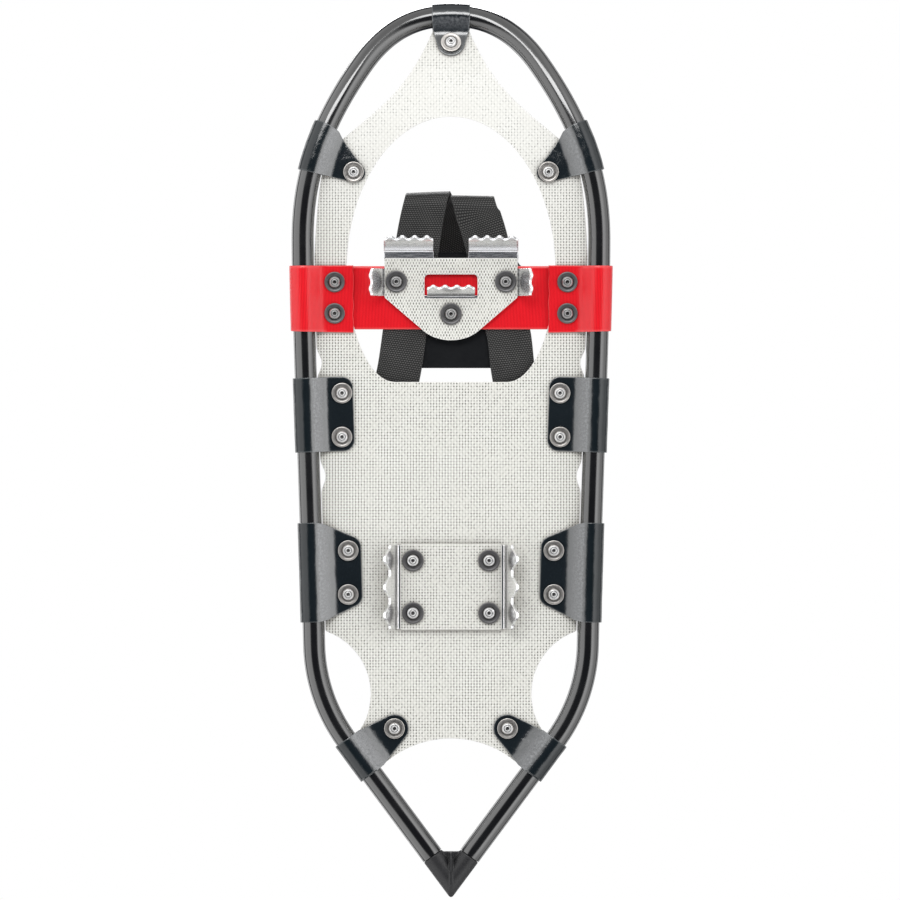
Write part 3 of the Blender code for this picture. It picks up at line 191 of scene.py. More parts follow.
# ================================================================ shader helpers
class Field:
    """A shader output; arithmetic on it adds Math nodes."""

    def __init__(self, socket):
        self.socket = socket

    def math(self, operation, second=0.0, third=0.0, first=None):
        first = self if first is None else first
        return add_node(self.socket.id_data, "ShaderNodeMath", {0: first, 1: second, 2: third},
                        operation=operation)

    def __add__(self, other):
        return self.math("ADD", other)

    def __sub__(self, other):
        return self.math("SUBTRACT", other)

    def __rsub__(self, other):
        return self.math("SUBTRACT", self, first=other)

    def __mul__(self, other):
        return self.math("MULTIPLY", other)

    def __truediv__(self, other):
        return self.math("DIVIDE", other)

    def __mod__(self, other):
        return self.math("FLOORED_MODULO", other)

    def __abs__(self):
        return self.math("ABSOLUTE")

    def scaled(self, factor, plus):
        return self.math("MULTIPLY_ADD", factor, plus)

    def clamped(self):
        """Hold the node that made this field between 0 and 1."""
        self.socket.node.use_clamp = True
        return self

    def ramp(self, over, gives=(0.0, 1.0)):
        """Ease from gives[0] to gives[1] while this field crosses over."""
        return add_node(self.socket.id_data, "ShaderNodeMapRange",
                        {0: self, 1: over[0], 2: over[1], 3: gives[0], 4: gives[1]},
                        interpolation_type="SMOOTHSTEP")

    def blend(self, start, end, kind="MIX"):
        """The colour between start and end, with this field as the factor."""
        return add_node(self.socket.id_data, "ShaderNodeMix", {0: self, 6: start, 7: end},
                        output=2, data_type="RGBA", blend_type=kind)

    def tint(self, colour, by, kind="MIX"):
        return by.blend(self, colour, kind)

    def stretched(self, scale):
        return add_node(self.socket.id_data, "ShaderNodeMapping",
                        {"Vector": self, "Scale": scale})

    def in_mm(self):
        return add_node(self.socket.id_data, "ShaderNodeVectorMath",
                        {0: self, 1: (1000.0,) * 3}, operation="MULTIPLY")

    def parts(self):
        """The x, y and z of a vector."""
        first = add_node(self.socket.id_data, "ShaderNodeSeparateXYZ", {0: self})
        return [Field(socket) for socket in first.socket.node.outputs]


def feed(target, value):
    """Link a field to a socket, or give the socket a plain value."""
    if isinstance(value, Field):
        target.id_data.links.new(value.socket, target)
    elif target.type == "RGBA":
        target.default_value = (*value[:3], 1)
    else:
        target.default_value = value


def add_node(tree, kind, inputs=None, output=0, **settings):
    """Add a node and return one of its outputs."""
    made = tree.nodes.new(kind)
    for key, value in settings.items():
        setattr(made, key, value)
    for key, value in (inputs or {}).items():
        feed(made.inputs[key], value)
    return Field(made.outputs[output])


class Finish:
    """A material and the fields its textures start from."""

    def __init__(self, name, **values):
        self.material = bpy.data.materials.new(name)
        self.material.use_nodes = True
        self.tree = self.material.node_tree
        self.bsdf = self.tree.nodes["Principled BSDF"]
        self.set(**values)

    def set(self, **values):
        for key, value in values.items():
            feed(self.bsdf.inputs[key.replace("_", " ")], value)

    def sheet(self):
        """Millimetres along and across the sheet, from its own map."""
        return add_node(self.tree, "ShaderNodeUVMap", uv_map="cloth").in_mm()

    def solid(self):
        """Position in millimetres."""
        return add_node(self.tree, "ShaderNodeTexCoord", output="Object").in_mm()

    def edge(self):
        return add_node(self.tree, "ShaderNodeAttribute", output="Fac", attribute_name="edge")

    def noise(self, vector=None, scale=1.0, detail=3.0, rough=0.5):
        inputs = {"Scale": scale, "Detail": detail, "Roughness": rough}
        if vector is not None:
            inputs["Vector"] = vector
        return add_node(self.tree, "ShaderNodeTexNoise", inputs, output="Fac")

    def bump(self, height, strength, distance):
        self.set(Normal=add_node(self.tree, "ShaderNodeBump", {
            "Height": height, "Strength": strength, "Distance": distance}))


def wave_of(coordinate, pitch):
    """Phase that turns once each pitch."""
    return coordinate * (2 * math.pi / pitch)


def raised_cosine(phase):
    return phase.math("COSINE").scaled(0.5, plus=0.5)


# ================================================================ materials
def deck_material(name, staggered, tone=1.0):
    """Coarse coated basket weave: pale yarns, pinholes where four meet, wear and stains, with
    painted shade in the pinholes, the grooves and near raised parts.
    """
    cloth = Finish(name, Roughness=0.62)
    place = cloth.sheet()
    x, y, _ = place.parts()
    column, row = x / WEAVE, y / WEAVE
    if staggered:
        column = column + (row + 0.5).math("FLOOR") % 2.0 * 0.5
    # 0 at a pinhole, 0.5 at a yarn's middle
    near_x, near_y = [abs((c + 0.5) % 1.0 - 0.5) for c in (column, row)]
    cell = add_node(cloth.tree, "ShaderNodeCombineXYZ",
                    {0: column.math("ROUND"), 1: row.math("ROUND"), 2: 0.0})
    chance = add_node(cloth.tree, "ShaderNodeTexWhiteNoise", {"Vector": cell}, output="Value")
    patchy = cloth.noise(place, scale=0.035, detail=3.0, rough=0.55)
    stretch_x, stretch_y = (1.45, 0.72) if staggered else (1.25, 0.98)    # shape of a pinhole
    off_x, off_y = near_x * stretch_x, near_y * stretch_y
    distance = (off_x * off_x + off_y * off_y).math("SQRT")
    pinhole = distance.ramp(over=(0.16, 0.38), gives=(1.0, 0.0))

    # the pinholes' painted shade is deeper at the sides, and fainter towards the toe, where the
    # cloth is also paler
    toe = y.ramp(over=(120.0, 250.0)) * y.ramp(over=(262.0, 296.0), gives=(1.0, 0.35))
    side = abs(x).ramp(over=(55.0, 95.0))
    depth = chance.scaled(0.95, plus=patchy.scaled(1.3, plus=-0.38))
    depth = (side.scaled(0.55, plus=depth) - toe * 0.55).clamped()
    pinhole = (pinhole * depth.math("MAXIMUM", 0.10)).clamped()

    # painted shade in the grooves between yarns
    groove_shade_x = near_x.ramp(over=(0.0, 0.20), gives=(1.0, 0.0))
    groove_shade_y = near_y.ramp(over=(0.0, 0.16), gives=(1.0, 0.0))
    warp = (column.math("FLOOR") + row.math("FLOOR")) % 2.0
    fibre = cloth.noise(place.stretched((2.2, 0.5, 1.0)), scale=1.7, detail=2.0, rough=0.6)
    # painted shade: ambient occlusion within 20 mm, near the tube, the tabs and other raised
    # parts
    ao_painted_shade = add_node(cloth.tree, "ShaderNodeAmbientOcclusion", {"Distance": 0.020},
                      output="AO", samples=6)

    base = patchy.blend(tuple(c * tone for c in (0.640, 0.632, 0.585)),
                        tuple(c * tone for c in (0.735, 0.735, 0.700)))
    base = base.tint((0.52, 0.52, 0.48), by=warp * 0.14, kind="MULTIPLY")
    # painted shade: grooves darkened, more on the staggered patch weave
    base = base.tint((0.33, 0.32, 0.29), by=groove_shade_x * (0.55 if staggered else 0.24))
    base = base.tint((0.36, 0.35, 0.32), by=groove_shade_y * 0.13)
    base = base.tint((0.9, 0.9, 0.88), by=fibre.ramp(over=(0.35, 0.75), gives=(0.0, 0.14)))
    # painted shade: pinholes coloured near black as shaded cavities
    base = base.tint((0.060, 0.056, 0.048), by=pinhole)
    base = base.tint((0.80, 0.80, 0.79), by=toe * 0.22)
    # painted shade: the colour is darkened where ambient occlusion finds the cloth hemmed in
    base = base.tint((0.30, 0.27, 0.24), by=ao_painted_shade.ramp(over=(0.35, 0.95), gives=(0.62, 0.0)),
                     kind="MULTIPLY")
    base = base.tint((0.86, 0.86, 0.84), by=cloth.edge() * 0.35)
    cloth.set(Base_Color=base, Roughness=fibre.scaled(0.22, plus=0.48), Sheen_Weight=0.06)
    cloth.bump(fibre * 0.25 - pinhole * 0.8, strength=0.35, distance=0.00025)
    return cloth.material


def coated_material():
    """Glossy coated tab: blue-black skin over a fine weave, scuffed, paler at cut edges."""
    coat = Finish("coated_fabric", Roughness=0.22)
    place, solid = coat.sheet(), coat.solid()
    x, y, _ = place.parts()
    cloud = coat.noise(solid, scale=0.06, detail=3.0, rough=0.55)
    scuff = coat.noise(solid, scale=0.9, detail=5.0, rough=0.7)
    swell = coat.noise(solid, scale=0.16, detail=2.0, rough=0.5)
    pitch = 1.25
    weave = wave_of(x, pitch).math("SINE") * wave_of(y, pitch).math("SINE")
    base = cloud.blend((0.0035, 0.0065, 0.0085), (0.0075, 0.0120, 0.0150))
    base = base.tint((0.085, 0.095, 0.10), by=coat.edge() * 0.55)
    base = base.tint((0.08, 0.09, 0.095), by=scuff.ramp(over=(0.70, 0.86), gives=(0.0, 0.05)))

    # between tube and cloth the skin hangs free: stretched and shinier in a ragged band, which
    # gets a mottled painted sheen, lightest near the tube
    out = abs(x)
    ragged = out + coat.noise(place, scale=0.32, detail=5.0, rough=0.68).scaled(5.0, plus=-2.5)
    free = ragged.ramp(over=(17.8, 19.6)) * ragged.ramp(over=(31.5, 26.0))
    mottle = coat.noise(place, scale=0.55, detail=5.0, rough=0.72).ramp(
        over=(0.30, 0.72), gives=(0.25, 1.0))
    painted_sheen_band = free * (mottle * out.ramp(over=(30.0, 18.5), gives=(0.35, 1.0)))
    # painted sheen: the free band's colour is lightened
    base = base.tint((0.175, 0.180, 0.190), by=painted_sheen_band * 0.70)

    rough = scuff.ramp(over=(0.3, 0.8), gives=(0.10, 0.22)) + coat.edge() * 0.15
    shine = out.ramp(over=(11.5, 17.0), gives=(0.36, 1.0))
    coat.set(Base_Color=base, Roughness=painted_sheen_band.scaled(0.08, plus=rough),
             Specular_IOR_Level=shine * 0.80, Coat_Weight=shine * 0.85, Coat_IOR=1.75,
             Coat_Roughness=0.16)
    crinkle = coat.noise(solid.stretched((1.0, 0.45, 1.0)), scale=0.30, detail=4.0, rough=0.62)
    coat.bump(weave * 0.07 + (swell * 1.7 + crinkle * 0.18), strength=0.45, distance=0.00060)
    return coat.material


def red_material():
    """Coated red webbing: fine cross ribs broken by dashes, waxy gloss, pale frayed ends."""
    web = Finish("red_webbing", Roughness=0.38)
    place = web.sheet()
    x, y, _ = place.parts()
    rib = raised_cosine(wave_of(x, RIB))
    odd_rib = (x / RIB).math("FLOOR") % 2.0
    dash = raised_cosine(wave_of(y, 1.9) + odd_rib * math.pi)
    worn = web.noise(place, scale=0.05, detail=4.0, rough=0.6)
    fine = web.noise(place, scale=1.2, detail=3.0, rough=0.6)
    base = worn.blend((0.66, 0.0010, 0.0075), (0.84, 0.0030, 0.0140))
    base = base.tint((0.30, 0.0008, 0.004), by=(1.0 - rib) * 0.50)
    base = base.tint((0.92, 0.05, 0.05), by=dash * (rib * 0.12))
    base = base.tint((0.90, 0.20, 0.19), by=web.edge() * 0.30)
    web.set(Base_Color=base, Roughness=fine.ramp(over=(0.3, 0.8), gives=(0.30, 0.50)),
            Coat_Weight=0.45, Coat_Roughness=0.16, Specular_IOR_Level=0.26)
    web.bump(rib * 0.5 + dash * 0.22, strength=0.35, distance=0.00020)
    return web.material


def webbing_material():
    """Black nylon webbing: pale picks in a brick pattern between dark grooves."""
    web = Finish("nylon_webbing", Roughness=0.7)
    place = web.sheet()
    x, y, _ = place.parts()
    row = x / PICK
    crest = abs((row * math.pi).math("SINE"))
    odd_row = row.math("FLOOR") % 2.0
    brick = raised_cosine(wave_of(y, 1.85) + odd_row * math.pi)
    fuzz = web.noise(place, scale=1.6, detail=3.0, rough=0.65)
    fade = web.noise(place, scale=0.05, detail=3.0, rough=0.55)
    light = crest.ramp(over=(0.35, 0.95)) * brick.ramp(over=(0.25, 0.85), gives=(0.25, 1.0))
    light = (light * fuzz.scaled(0.7, plus=fade * 0.6)).clamped()
    base = light.blend((0.0040, 0.0040, 0.0043), (0.120, 0.119, 0.115))
    base = base.tint((0.035, 0.035, 0.036), by=web.edge() * 0.35)
    web.set(Base_Color=base, Roughness=fuzz.scaled(0.3, plus=0.42), Sheen_Weight=0.04,
            Specular_IOR_Level=0.25)
    web.bump(crest * 0.6 + brick * 0.4, strength=0.45, distance=0.00030)
    return web.material


def tube_material():
    """Gloss black coat on tube: orange peel, long fine scratches, dulled patches."""
    coat = Finish("black_coat", Roughness=0.16)
    solid = coat.solid()
    peel = coat.noise(solid, scale=0.8, detail=2.0, rough=0.5)
    dull = coat.noise(solid, scale=0.03, detail=4.0, rough=0.6)
    drawn = coat.noise(coat.sheet().stretched((0.02, 2.4, 1.0)), scale=1.0, detail=3.0,
                       rough=0.65)
    scratch = drawn.ramp(over=(0.66, 0.74))
    base = dull.blend((0.0028, 0.0028, 0.0031), (0.0062, 0.0062, 0.0066))
    rough = dull.ramp(over=(0.3, 0.75), gives=(0.13, 0.24)) + scratch * 0.10
    coat.set(Base_Color=base.tint((0.12, 0.12, 0.12), by=scratch * 0.10), Roughness=rough,
             Specular_IOR_Level=0.95, Coat_Weight=0.8, Coat_IOR=1.6, Coat_Roughness=0.10)
    coat.bump(peel + scratch * -0.4, strength=0.10, distance=0.00008)
    return coat.material


def plastic_material(name, dark, light, rough, grain=1.3, strength=0.25, mark=0.15, gloss=0.4):
    """Moulded plastic: fine grain, cloudy gloss, rubbed corners."""
    plastic = Finish(name, Roughness=rough[1])
    solid = plastic.solid()
    cloud = plastic.noise(solid, scale=0.05, detail=3.0, rough=0.55)
    fine = plastic.noise(solid, scale=grain, detail=3.0, rough=0.65)
    rub = plastic.noise(solid, scale=0.35, detail=5.0, rough=0.7)
    corner = add_node(plastic.tree, "ShaderNodeNewGeometry", output="Pointiness")
    base = cloud.blend(dark, light)
    base = base.tint(tuple(min(1, c * 5 + 0.03) for c in light),
                     by=rub.ramp(over=(0.64, 0.82), gives=(0.0, mark)))
    base = base.tint(tuple(min(1, c * 4 + 0.02) for c in light),
                     by=corner.ramp(over=(0.53, 0.62), gives=(0.0, 0.35)))
    plastic.set(Base_Color=base, Roughness=fine.ramp(over=(0.3, 0.7), gives=rough),
                Specular_IOR_Level=gloss)
    plastic.bump(fine, strength=strength, distance=0.00010)
    return plastic.material


def metal_material(name, dark, light, rough, grain, spots, shaded_crevices=False):
    """Bare metal: grain stretched by scale, a mottled tone and a few dull marks."""
    metal = Finish(name, Metallic=1.0)
    solid = metal.solid()
    tone = metal.noise(solid, scale=0.09, detail=4.0, rough=0.6)
    rolled = metal.noise(solid.stretched(grain), scale=1.0, detail=3.0, rough=0.6)
    mark = metal.noise(solid, scale=0.6, detail=5.0, rough=0.75)
    base = tone.blend(dark, light)
    base = base.tint(tuple(c * 0.45 for c in dark),
                     by=mark.ramp(over=(0.60, 0.78), gives=(0.0, spots)))
    # painted shade: the edge attribute darkens the crevices, the mandrel hole and the grooves
    if shaded_crevices:
        base = base.tint((0.012, 0.011, 0.010), by=metal.edge())
    metal.set(Base_Color=base, Roughness=rolled.ramp(over=(0.3, 0.7), gives=rough)
              + mark.ramp(over=(0.6, 0.8), gives=(0.0, 0.12)))
    metal.bump(rolled, strength=0.05, distance=0.00005)
    return metal.material


ROLLED = (0.08, 1.6, 1.6)       # grain drawn out along X
DECK = deck_material("deck_weave", staggered=False)
PATCH = deck_material("patch_weave", staggered=True, tone=1.02)
COATED = coated_material()
RED = red_material()
NYLON = webbing_material()
BLACK = tube_material()
CAP = plastic_material("cap_moulding", dark=(0.010, 0.010, 0.011),
                       light=(0.022, 0.022, 0.024), rough=(0.36, 0.56))
FOOTBED = plastic_material("footbed_moulding", dark=(0.0035, 0.004, 0.0050),
                           light=(0.0075, 0.0082, 0.0095), rough=(0.34, 0.50),
                           grain=0.9, strength=0.2, mark=0.05, gloss=0.16)
BUCKLE = plastic_material("buckle_moulding", dark=(0.008, 0.008, 0.009),
                          light=(0.016, 0.016, 0.017), rough=(0.26, 0.44))
ALLOY = metal_material("bright_alloy", dark=(0.77, 0.78, 0.80), light=(0.90, 0.90, 0.91),
                       rough=(0.20, 0.31), grain=ROLLED, spots=0.05)
# the same alloy painted lighter: a lit copy standing in for the brighter reflection on the heel
# crampon's flanges
ALLOY_PAINTED_LIGHTER = metal_material("alloy_painted_lighter", dark=(0.93, 0.935, 0.95), light=(0.99, 0.99, 0.99),
                        rough=(0.17, 0.26), grain=ROLLED, spots=0.04)
HEAD = metal_material("rivet_head", dark=(0.60, 0.60, 0.60), light=(0.78, 0.775, 0.77),
                      rough=(0.26, 0.40), grain=(1.4,) * 3, spots=0.15, shaded_crevices=True)
DARK_HEAD = metal_material("dark_rivet_head", dark=(0.30, 0.30, 0.30),
                           light=(0.45, 0.445, 0.44), rough=(0.28, 0.44),
                           grain=(1.4,) * 3, spots=0.15, shaded_crevices=True)
WASHER = metal_material("zinc_washer", dark=(0.42, 0.40, 0.375), light=(0.60, 0.575, 0.55),
                        rough=(0.28, 0.42), grain=(1.2,) * 3, spots=0.20, shaded_crevices=True)
DARK_WASHER = metal_material("dark_washer", dark=(0.13, 0.13, 0.135),
                             light=(0.20, 0.195, 0.195), rough=(0.34, 0.50),
                             grain=(1.2,) * 3, spots=0.20, shaded_crevices=True)
PIN = metal_material("pin_steel", dark=(0.42, 0.42, 0.43), light=(0.62, 0.61, 0.60),
                     rough=(0.20, 0.34), grain=(1.4,) * 3, spots=0.15)
THREAD = plastic_material("stitch_thread", dark=(0.020, 0.020, 0.021),
                          light=(0.045, 0.045, 0.045), rough=(0.55, 0.75),
                          grain=2.0, strength=0.3, mark=0.1)


# ================================================================ mesh makers
def outward(points, faces):
    """The faces, turned round if they enclose a negative volume."""
    triangles = np.array([f[:3] for f in faces] + [(f[0], f[2], f[3]) for f in faces
                                                   if len(f) == 4])
    first, second, third = (points[triangles[:, k]] for k in range(3))
    volume = np.einsum("ij,ij->i", first, np.cross(second, third)).sum()
    return flipped(faces) if volume < 0 else faces


def flipped(faces):
    return [tuple(f)[::-1] for f in faces]


def add_mesh(name, points, faces, materials, sheet=None, edge=None, face_material=None,
             weighted=False):
    """An object from points in millimetres, with its sheet map and its edge shading."""
    points = np.asarray(points, float)
    mesh = bpy.data.meshes.new(name)
    mesh.from_pydata((points * 0.001).tolist(), [],
                     [tuple(int(i) for i in f) for f in outward(points, faces)])
    for material in materials if isinstance(materials, (list, tuple)) else [materials]:
        mesh.materials.append(material)
    if sheet is not None:
        layer = mesh.uv_layers.new(name="cloth")
        corners = np.zeros(len(mesh.loops), np.int32)
        mesh.loops.foreach_get("vertex_index", corners)
        flat_map = (np.asarray(sheet, float)[corners] * 0.001).astype(np.float32)
        layer.data.foreach_set("uv", flat_map.ravel())
    if edge is not None:
        attribute = mesh.attributes.new("edge", "FLOAT", "POINT")
        attribute.data.foreach_set("value", np.asarray(edge, np.float32))
    if face_material is not None:
        mesh.polygons.foreach_set("material_index", np.asarray(face_material, np.int32))
    mesh.shade_smooth()
    mesh.update()
    made = bpy.data.objects.new(name, mesh)
    COLLECTION.objects.link(made)
    if weighted:
        modifier = made.modifiers.new("even_normals", "WEIGHTED_NORMAL")
        modifier.mode, modifier.weight = "FACE_AREA", 100
    return made


def stand(made, body, slot, *nodes):
    """Tie a piece to its moving body and hide the CAD nodes it replaces; slot is not used."""
    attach(made, body)
    if nodes:
        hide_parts(*nodes)


def bridge(made, cad_node):
    """Bake the placement of a piece that lies between two bodies and hide the CAD node it
    replaces; it is tied to no body.
    """
    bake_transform(made)
    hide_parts(cad_node)


def inside(x, y, loops):
    """Which points lie inside the first loop and outside the others."""
    hit = np.zeros(len(x), bool)
    for loop in loops:
        for (x0, y0), (x1, y1) in zip(loop, np.roll(loop, -1, 0)):
            if y0 == y1:
                continue
            spans = (y0 > y) != (y1 > y)
            hit ^= spans & (x < x0 + (y - y0) * (x1 - x0) / (y1 - y0))
    return hit


def segments(loops):
    """Start, span and squared length of every edge of some closed loops."""
    starts = np.concatenate(loops)
    spans = np.concatenate([np.roll(loop, -1, 0) for loop in loops]) - starts
    return starts, spans, np.maximum((spans ** 2).sum(1), 1e-12)


def nearest(points, loops, batch=400):
    """For each point, the nearest edge and the share of the way along it."""
    starts, spans, squares = segments(loops)
    index, share = np.zeros(len(points), int), np.zeros(len(points))
    for i in range(0, len(points), batch):
        some = points[i:i + batch][:, None, :]
        shares = np.clip(((some - starts) * spans).sum(2) / squares, 0, 1)
        closest = ((some - (starts + shares[..., None] * spans)) ** 2).sum(2).argmin(1)
        index[i:i + batch] = closest
        share[i:i + batch] = shares[np.arange(len(closest)), closest]
    return index, share


def skin(name, flat_points, faces, rim, out, place, thick, rows, material, relief=None,
         weighted=False):
    """Give a flat mesh its thickness: two faces joined by a rounded rim.

    place turns flat x, y into points and normals, rim lists the boundary's edges in
    order, out is each point's way to the true outline, and rows are (share of out,
    height) from the upper face to the lower.
    """
    count = len(flat_points)
    upper, lower = [thick / 2 + (relief(*flat_points.T, side) if relief else np.zeros(count))
                    for side in (1, -1)]
    middle, normals = place(*flat_points.T)
    points = [middle + normals * upper[:, None], middle - normals * lower[:, None]]
    border = np.array(sorted({i for pair in rim for i in pair}))
    order = {int(i): k for k, i in enumerate(border)}
    sheet = [flat_points, flat_points]
    edge = [np.where(np.isin(np.arange(count), border), 0.75, 0.0)] * 2
    for share, height in rows:
        row = flat_points[border] + out[border] * share
        middle, normals = place(*row.T)
        points.append(middle + normals * height)
        sheet.append(row)
        edge.append(np.ones(len(border)))
    faces = faces.tolist()
    all_faces = [tuple(f) for f in faces] + [tuple(count + i for i in f[::-1]) for f in faces]
    starts = [2 * count + k * len(border) for k in range(len(rows))]
    for pair in rim:
        near, far = ([i] + [start + order[i] for start in starts] + [count + i] for i in pair)
        for k in range(len(near) - 1):
            all_faces.append((far[k], near[k], near[k + 1], far[k + 1]))
    return add_mesh(name, np.concatenate(points), all_faces, material, np.concatenate(sheet),
                    np.concatenate(edge), weighted=weighted)


def woven(name, outer, holes, place, thick, material, step_x, step_y, relief, inset,
          rows=None):
    """A sheet on a fine even grid that follows its threads, trimmed to the outline."""
    loops = [np.array(outer, float)] + [np.array(h, float) for h in holes]
    low, high = loops[0].min(0), loops[0].max(0)
    grid_x, grid_y = (np.arange(math.floor(low[k] / step), math.ceil(high[k] / step) + 1) * step
                      for k, step in enumerate((step_x, step_y)))
    cell_x, cell_y = np.meshgrid(grid_x[:-1] + step_x / 2, grid_y[:-1] + step_y / 2,
                                 indexing="ij")
    keep = inside(cell_x.ravel(), cell_y.ravel(), loops).reshape(cell_x.shape)
    for _ in range(6):                               # no two cells may meet at a corner only
        a, b, c, d = (keep[:-1, :-1].copy(), keep[1:, 1:].copy(),
                      keep[1:, :-1].copy(), keep[:-1, 1:].copy())
        rising, falling = a & b & ~c & ~d, c & d & ~a & ~b
        if not (rising.any() or falling.any()):
            break
        keep[1:, :-1] |= rising
        keep[:-1, :-1] |= falling
    pad = np.pad(keep, 1)
    cells = pad[:-1, :-1].astype(int) + pad[1:, :-1] + pad[:-1, 1:] + pad[1:, 1:]
    used, border = cells > 0, (cells > 0) & (cells < 4)
    number = -np.ones(used.shape, int)
    number[used] = np.arange(used.sum())
    full_x, full_y = np.meshgrid(grid_x, grid_y, indexing="ij")
    flat_points = np.stack([full_x[used], full_y[used]], 1)
    i, j = np.nonzero(keep)
    faces = np.stack([number[i, j], number[i + 1, j], number[i + 1, j + 1], number[i, j + 1]],
                     1)
    rim = []
    # way to a neighbouring cell, then the two corners of the edge shared with it
    for way, start, end in (((0, -1), (0, 0), (1, 0)), ((1, 0), (1, 0), (1, 1)),
                            ((0, 1), (1, 1), (0, 1)), ((-1, 0), (0, 1), (0, 0))):
        bare = ~pad[i + 1 + way[0], j + 1 + way[1]]
        rim += list(zip(*(number[i[bare] + c[0], j[bare] + c[1]].tolist()
                          for c in (start, end))))
    ids = number[border]
    index, share = nearest(flat_points[ids], loops)
    starts, spans, squares = segments(loops)
    closest = starts[index] + share[:, None] * spans[index]
    ways = spans[index] / np.sqrt(squares[index])[:, None]
    left = np.stack([-ways[:, 1], ways[:, 0]], 1)
    inward = np.where(inside(*(closest + left * 0.02).T, loops)[:, None], left, -left)
    out = np.zeros_like(flat_points)
    flat_points[ids] = closest + inward * inset
    out[ids] = -inward * inset
    if rows is None:                                 # a half-round rim
        rows = [(math.cos(a), thick / 2 * math.sin(a)) for a in
                [math.pi / 2 - math.pi * k / 4 for k in (1, 2, 3)]]
    return skin(name, flat_points, faces, rim, out, place, thick, rows, material, relief)


def inset_loop(loop, material_inside, amount):
    """The loop moved into the material by amount, and each point's way back out."""
    area = 0.5 * (loop[:, 0] * np.roll(loop[:, 1], -1)
                  - np.roll(loop[:, 0], -1) * loop[:, 1]).sum()
    if (area > 0) != material_inside:                # material lies to the left of the loop
        loop = loop[::-1]
    before = unit_rows(loop - np.roll(loop, 1, 0))
    after = unit_rows(np.roll(loop, -1, 0) - loop)
    before, after = (np.stack([-way[:, 1], way[:, 0]], 1) for way in (before, after))
    mitre = before + after
    mitre /= np.maximum((mitre * after).sum(1), 0.35)[:, None]
    return loop + mitre * amount, -mitre * amount


def filled(loops, cuts_x, cuts_y):
    """Triangles that fill the loops, creased along the cuts, all facing one way."""
    points, edges = [], []
    for loop in loops:
        first = len(points)
        points += [Vector(p) for p in loop]
        edges += [(first + i, first + (i + 1) % len(loop)) for i in range(len(loop))]
    low, high = loops[0].min(0) - 5, loops[0].max(0) + 5
    lines = [((c, low[1]), (c, high[1])) for c in cuts_x]
    lines += [((low[0], c), (high[0], c)) for c in cuts_y]
    for line in lines:
        edges.append((len(points), len(points) + 1))
        points += [Vector(p) for p in line]
    points, _, triangles, *_ = delaunay_2d_cdt(points, edges, [], 0, 1e-5)
    points = np.array([(p.x, p.y) for p in points])
    triangles = np.array([tuple(f) for f in triangles])
    triangles = triangles[inside(*points[triangles].mean(1).T, loops)]
    corners = points[triangles]
    first, second = corners[:, 1] - corners[:, 0], corners[:, 2] - corners[:, 0]
    turn = first[:, 0] * second[:, 1] - first[:, 1] * second[:, 0]
    triangles = np.where((turn > 0)[:, None], triangles, triangles[:, ::-1])
    ids, renumbered = np.unique(triangles, return_inverse=True)
    return points[ids], renumbered.reshape(-1, 3)


def plate(name, outer, holes, place, thick, material, chamfer=0.28, cuts_x=(), cuts_y=(),
          rows=None):
    """A crisp sheet: its outline is filled, creased at the cuts, and its edges are broken."""
    made = [inset_loop(np.array(loop, float), k == 0, chamfer)
            for k, loop in enumerate([outer] + list(holes))]
    insets, outs = [pair[0] for pair in made], [pair[1] for pair in made]
    flat_points, triangles = filled(insets, cuts_x, cuts_y)
    unpaired = set()
    for a, b, c in triangles.tolist():
        for start, end in ((a, b), (b, c), (c, a)):
            if (end, start) in unpaired:
                unpaired.remove((end, start))
            else:
                unpaired.add((start, end))
    rim = sorted(unpaired)
    ids = np.array(sorted({i for pair in rim for i in pair}))
    index, share = nearest(flat_points[ids], insets)
    starts, spans, _ = segments(outs)
    out = np.zeros_like(flat_points)
    out[ids] = starts[index] + spans[index] * share[:, None]
    if rows is None:
        rows = [(0.62, thick / 2 - 0.22 * chamfer), (1.0, thick / 2 - chamfer),
                (1.0, -thick / 2 + chamfer), (0.62, -thick / 2 + 0.22 * chamfer)]
    return skin(name, flat_points, triangles, rim, out, place, thick, rows, material,
                weighted=True)


def band(first, second, count):
    """Faces between two rings whose points start at the given numbers."""
    return [(first + i, first + (i + 1) % count, second + (i + 1) % count, second + i)
            for i in range(count)]


def loft(made):
    """Points and faces of a skin over rings, closed by a point in the middle of each end."""
    made = [np.asarray(ring, float) for ring in made]
    count, total = len(made[0]), len(made) * len(made[0])
    points = np.concatenate(made + [made[0].mean(0)[None], made[-1].mean(0)[None]])
    faces = []
    for k in range(len(made) - 1):
        faces += band(k * count, (k + 1) * count, count)
    last = total - count
    faces += [((i + 1) % count, i, total) for i in range(count)]
    faces += [(last + i, last + (i + 1) % count, total + 1) for i in range(count)]
    return points, faces


# ================================================================ shared curves
def bend(x, y, height):
    """The point at flat x, y and a height over the deck's mid-plane, with the toe turned up."""
    x, y, height = np.broadcast_arrays(*(np.asarray(c, float) for c in (x, y, height)))
    past = y - UP_Y
    angle = np.clip(past / UP_RADIUS, 0, UP_ANGLE)
    rest = np.maximum(0.0, past - UP_RADIUS * UP_ANGLE)
    bent_y = np.minimum(y, UP_Y) + UP_RADIUS * np.sin(angle) + rest * np.cos(angle)
    rise = UP_RADIUS * (1 - np.cos(angle)) + rest * np.sin(angle)
    return np.stack([x, bent_y - height * np.sin(angle),
                     DECK_Z + rise + height * np.cos(angle)], -1)


def unroll(y):
    """The flat y of a place seen from above at y."""
    past = y - UP_Y
    if past <= 0:
        return y
    if past <= UP_RADIUS * math.sin(UP_ANGLE):
        return UP_Y + UP_RADIUS * math.asin(past / UP_RADIUS)
    return (UP_Y + UP_RADIUS * UP_ANGLE
            + (past - UP_RADIUS * math.sin(UP_ANGLE)) / math.cos(UP_ANGLE))


def flat(point):
    return (point[0], unroll(point[1]))


def on_deck(x, y):
    points = bend(x, y, 0.0)
    return points, bend(x, y, 1.0) - points


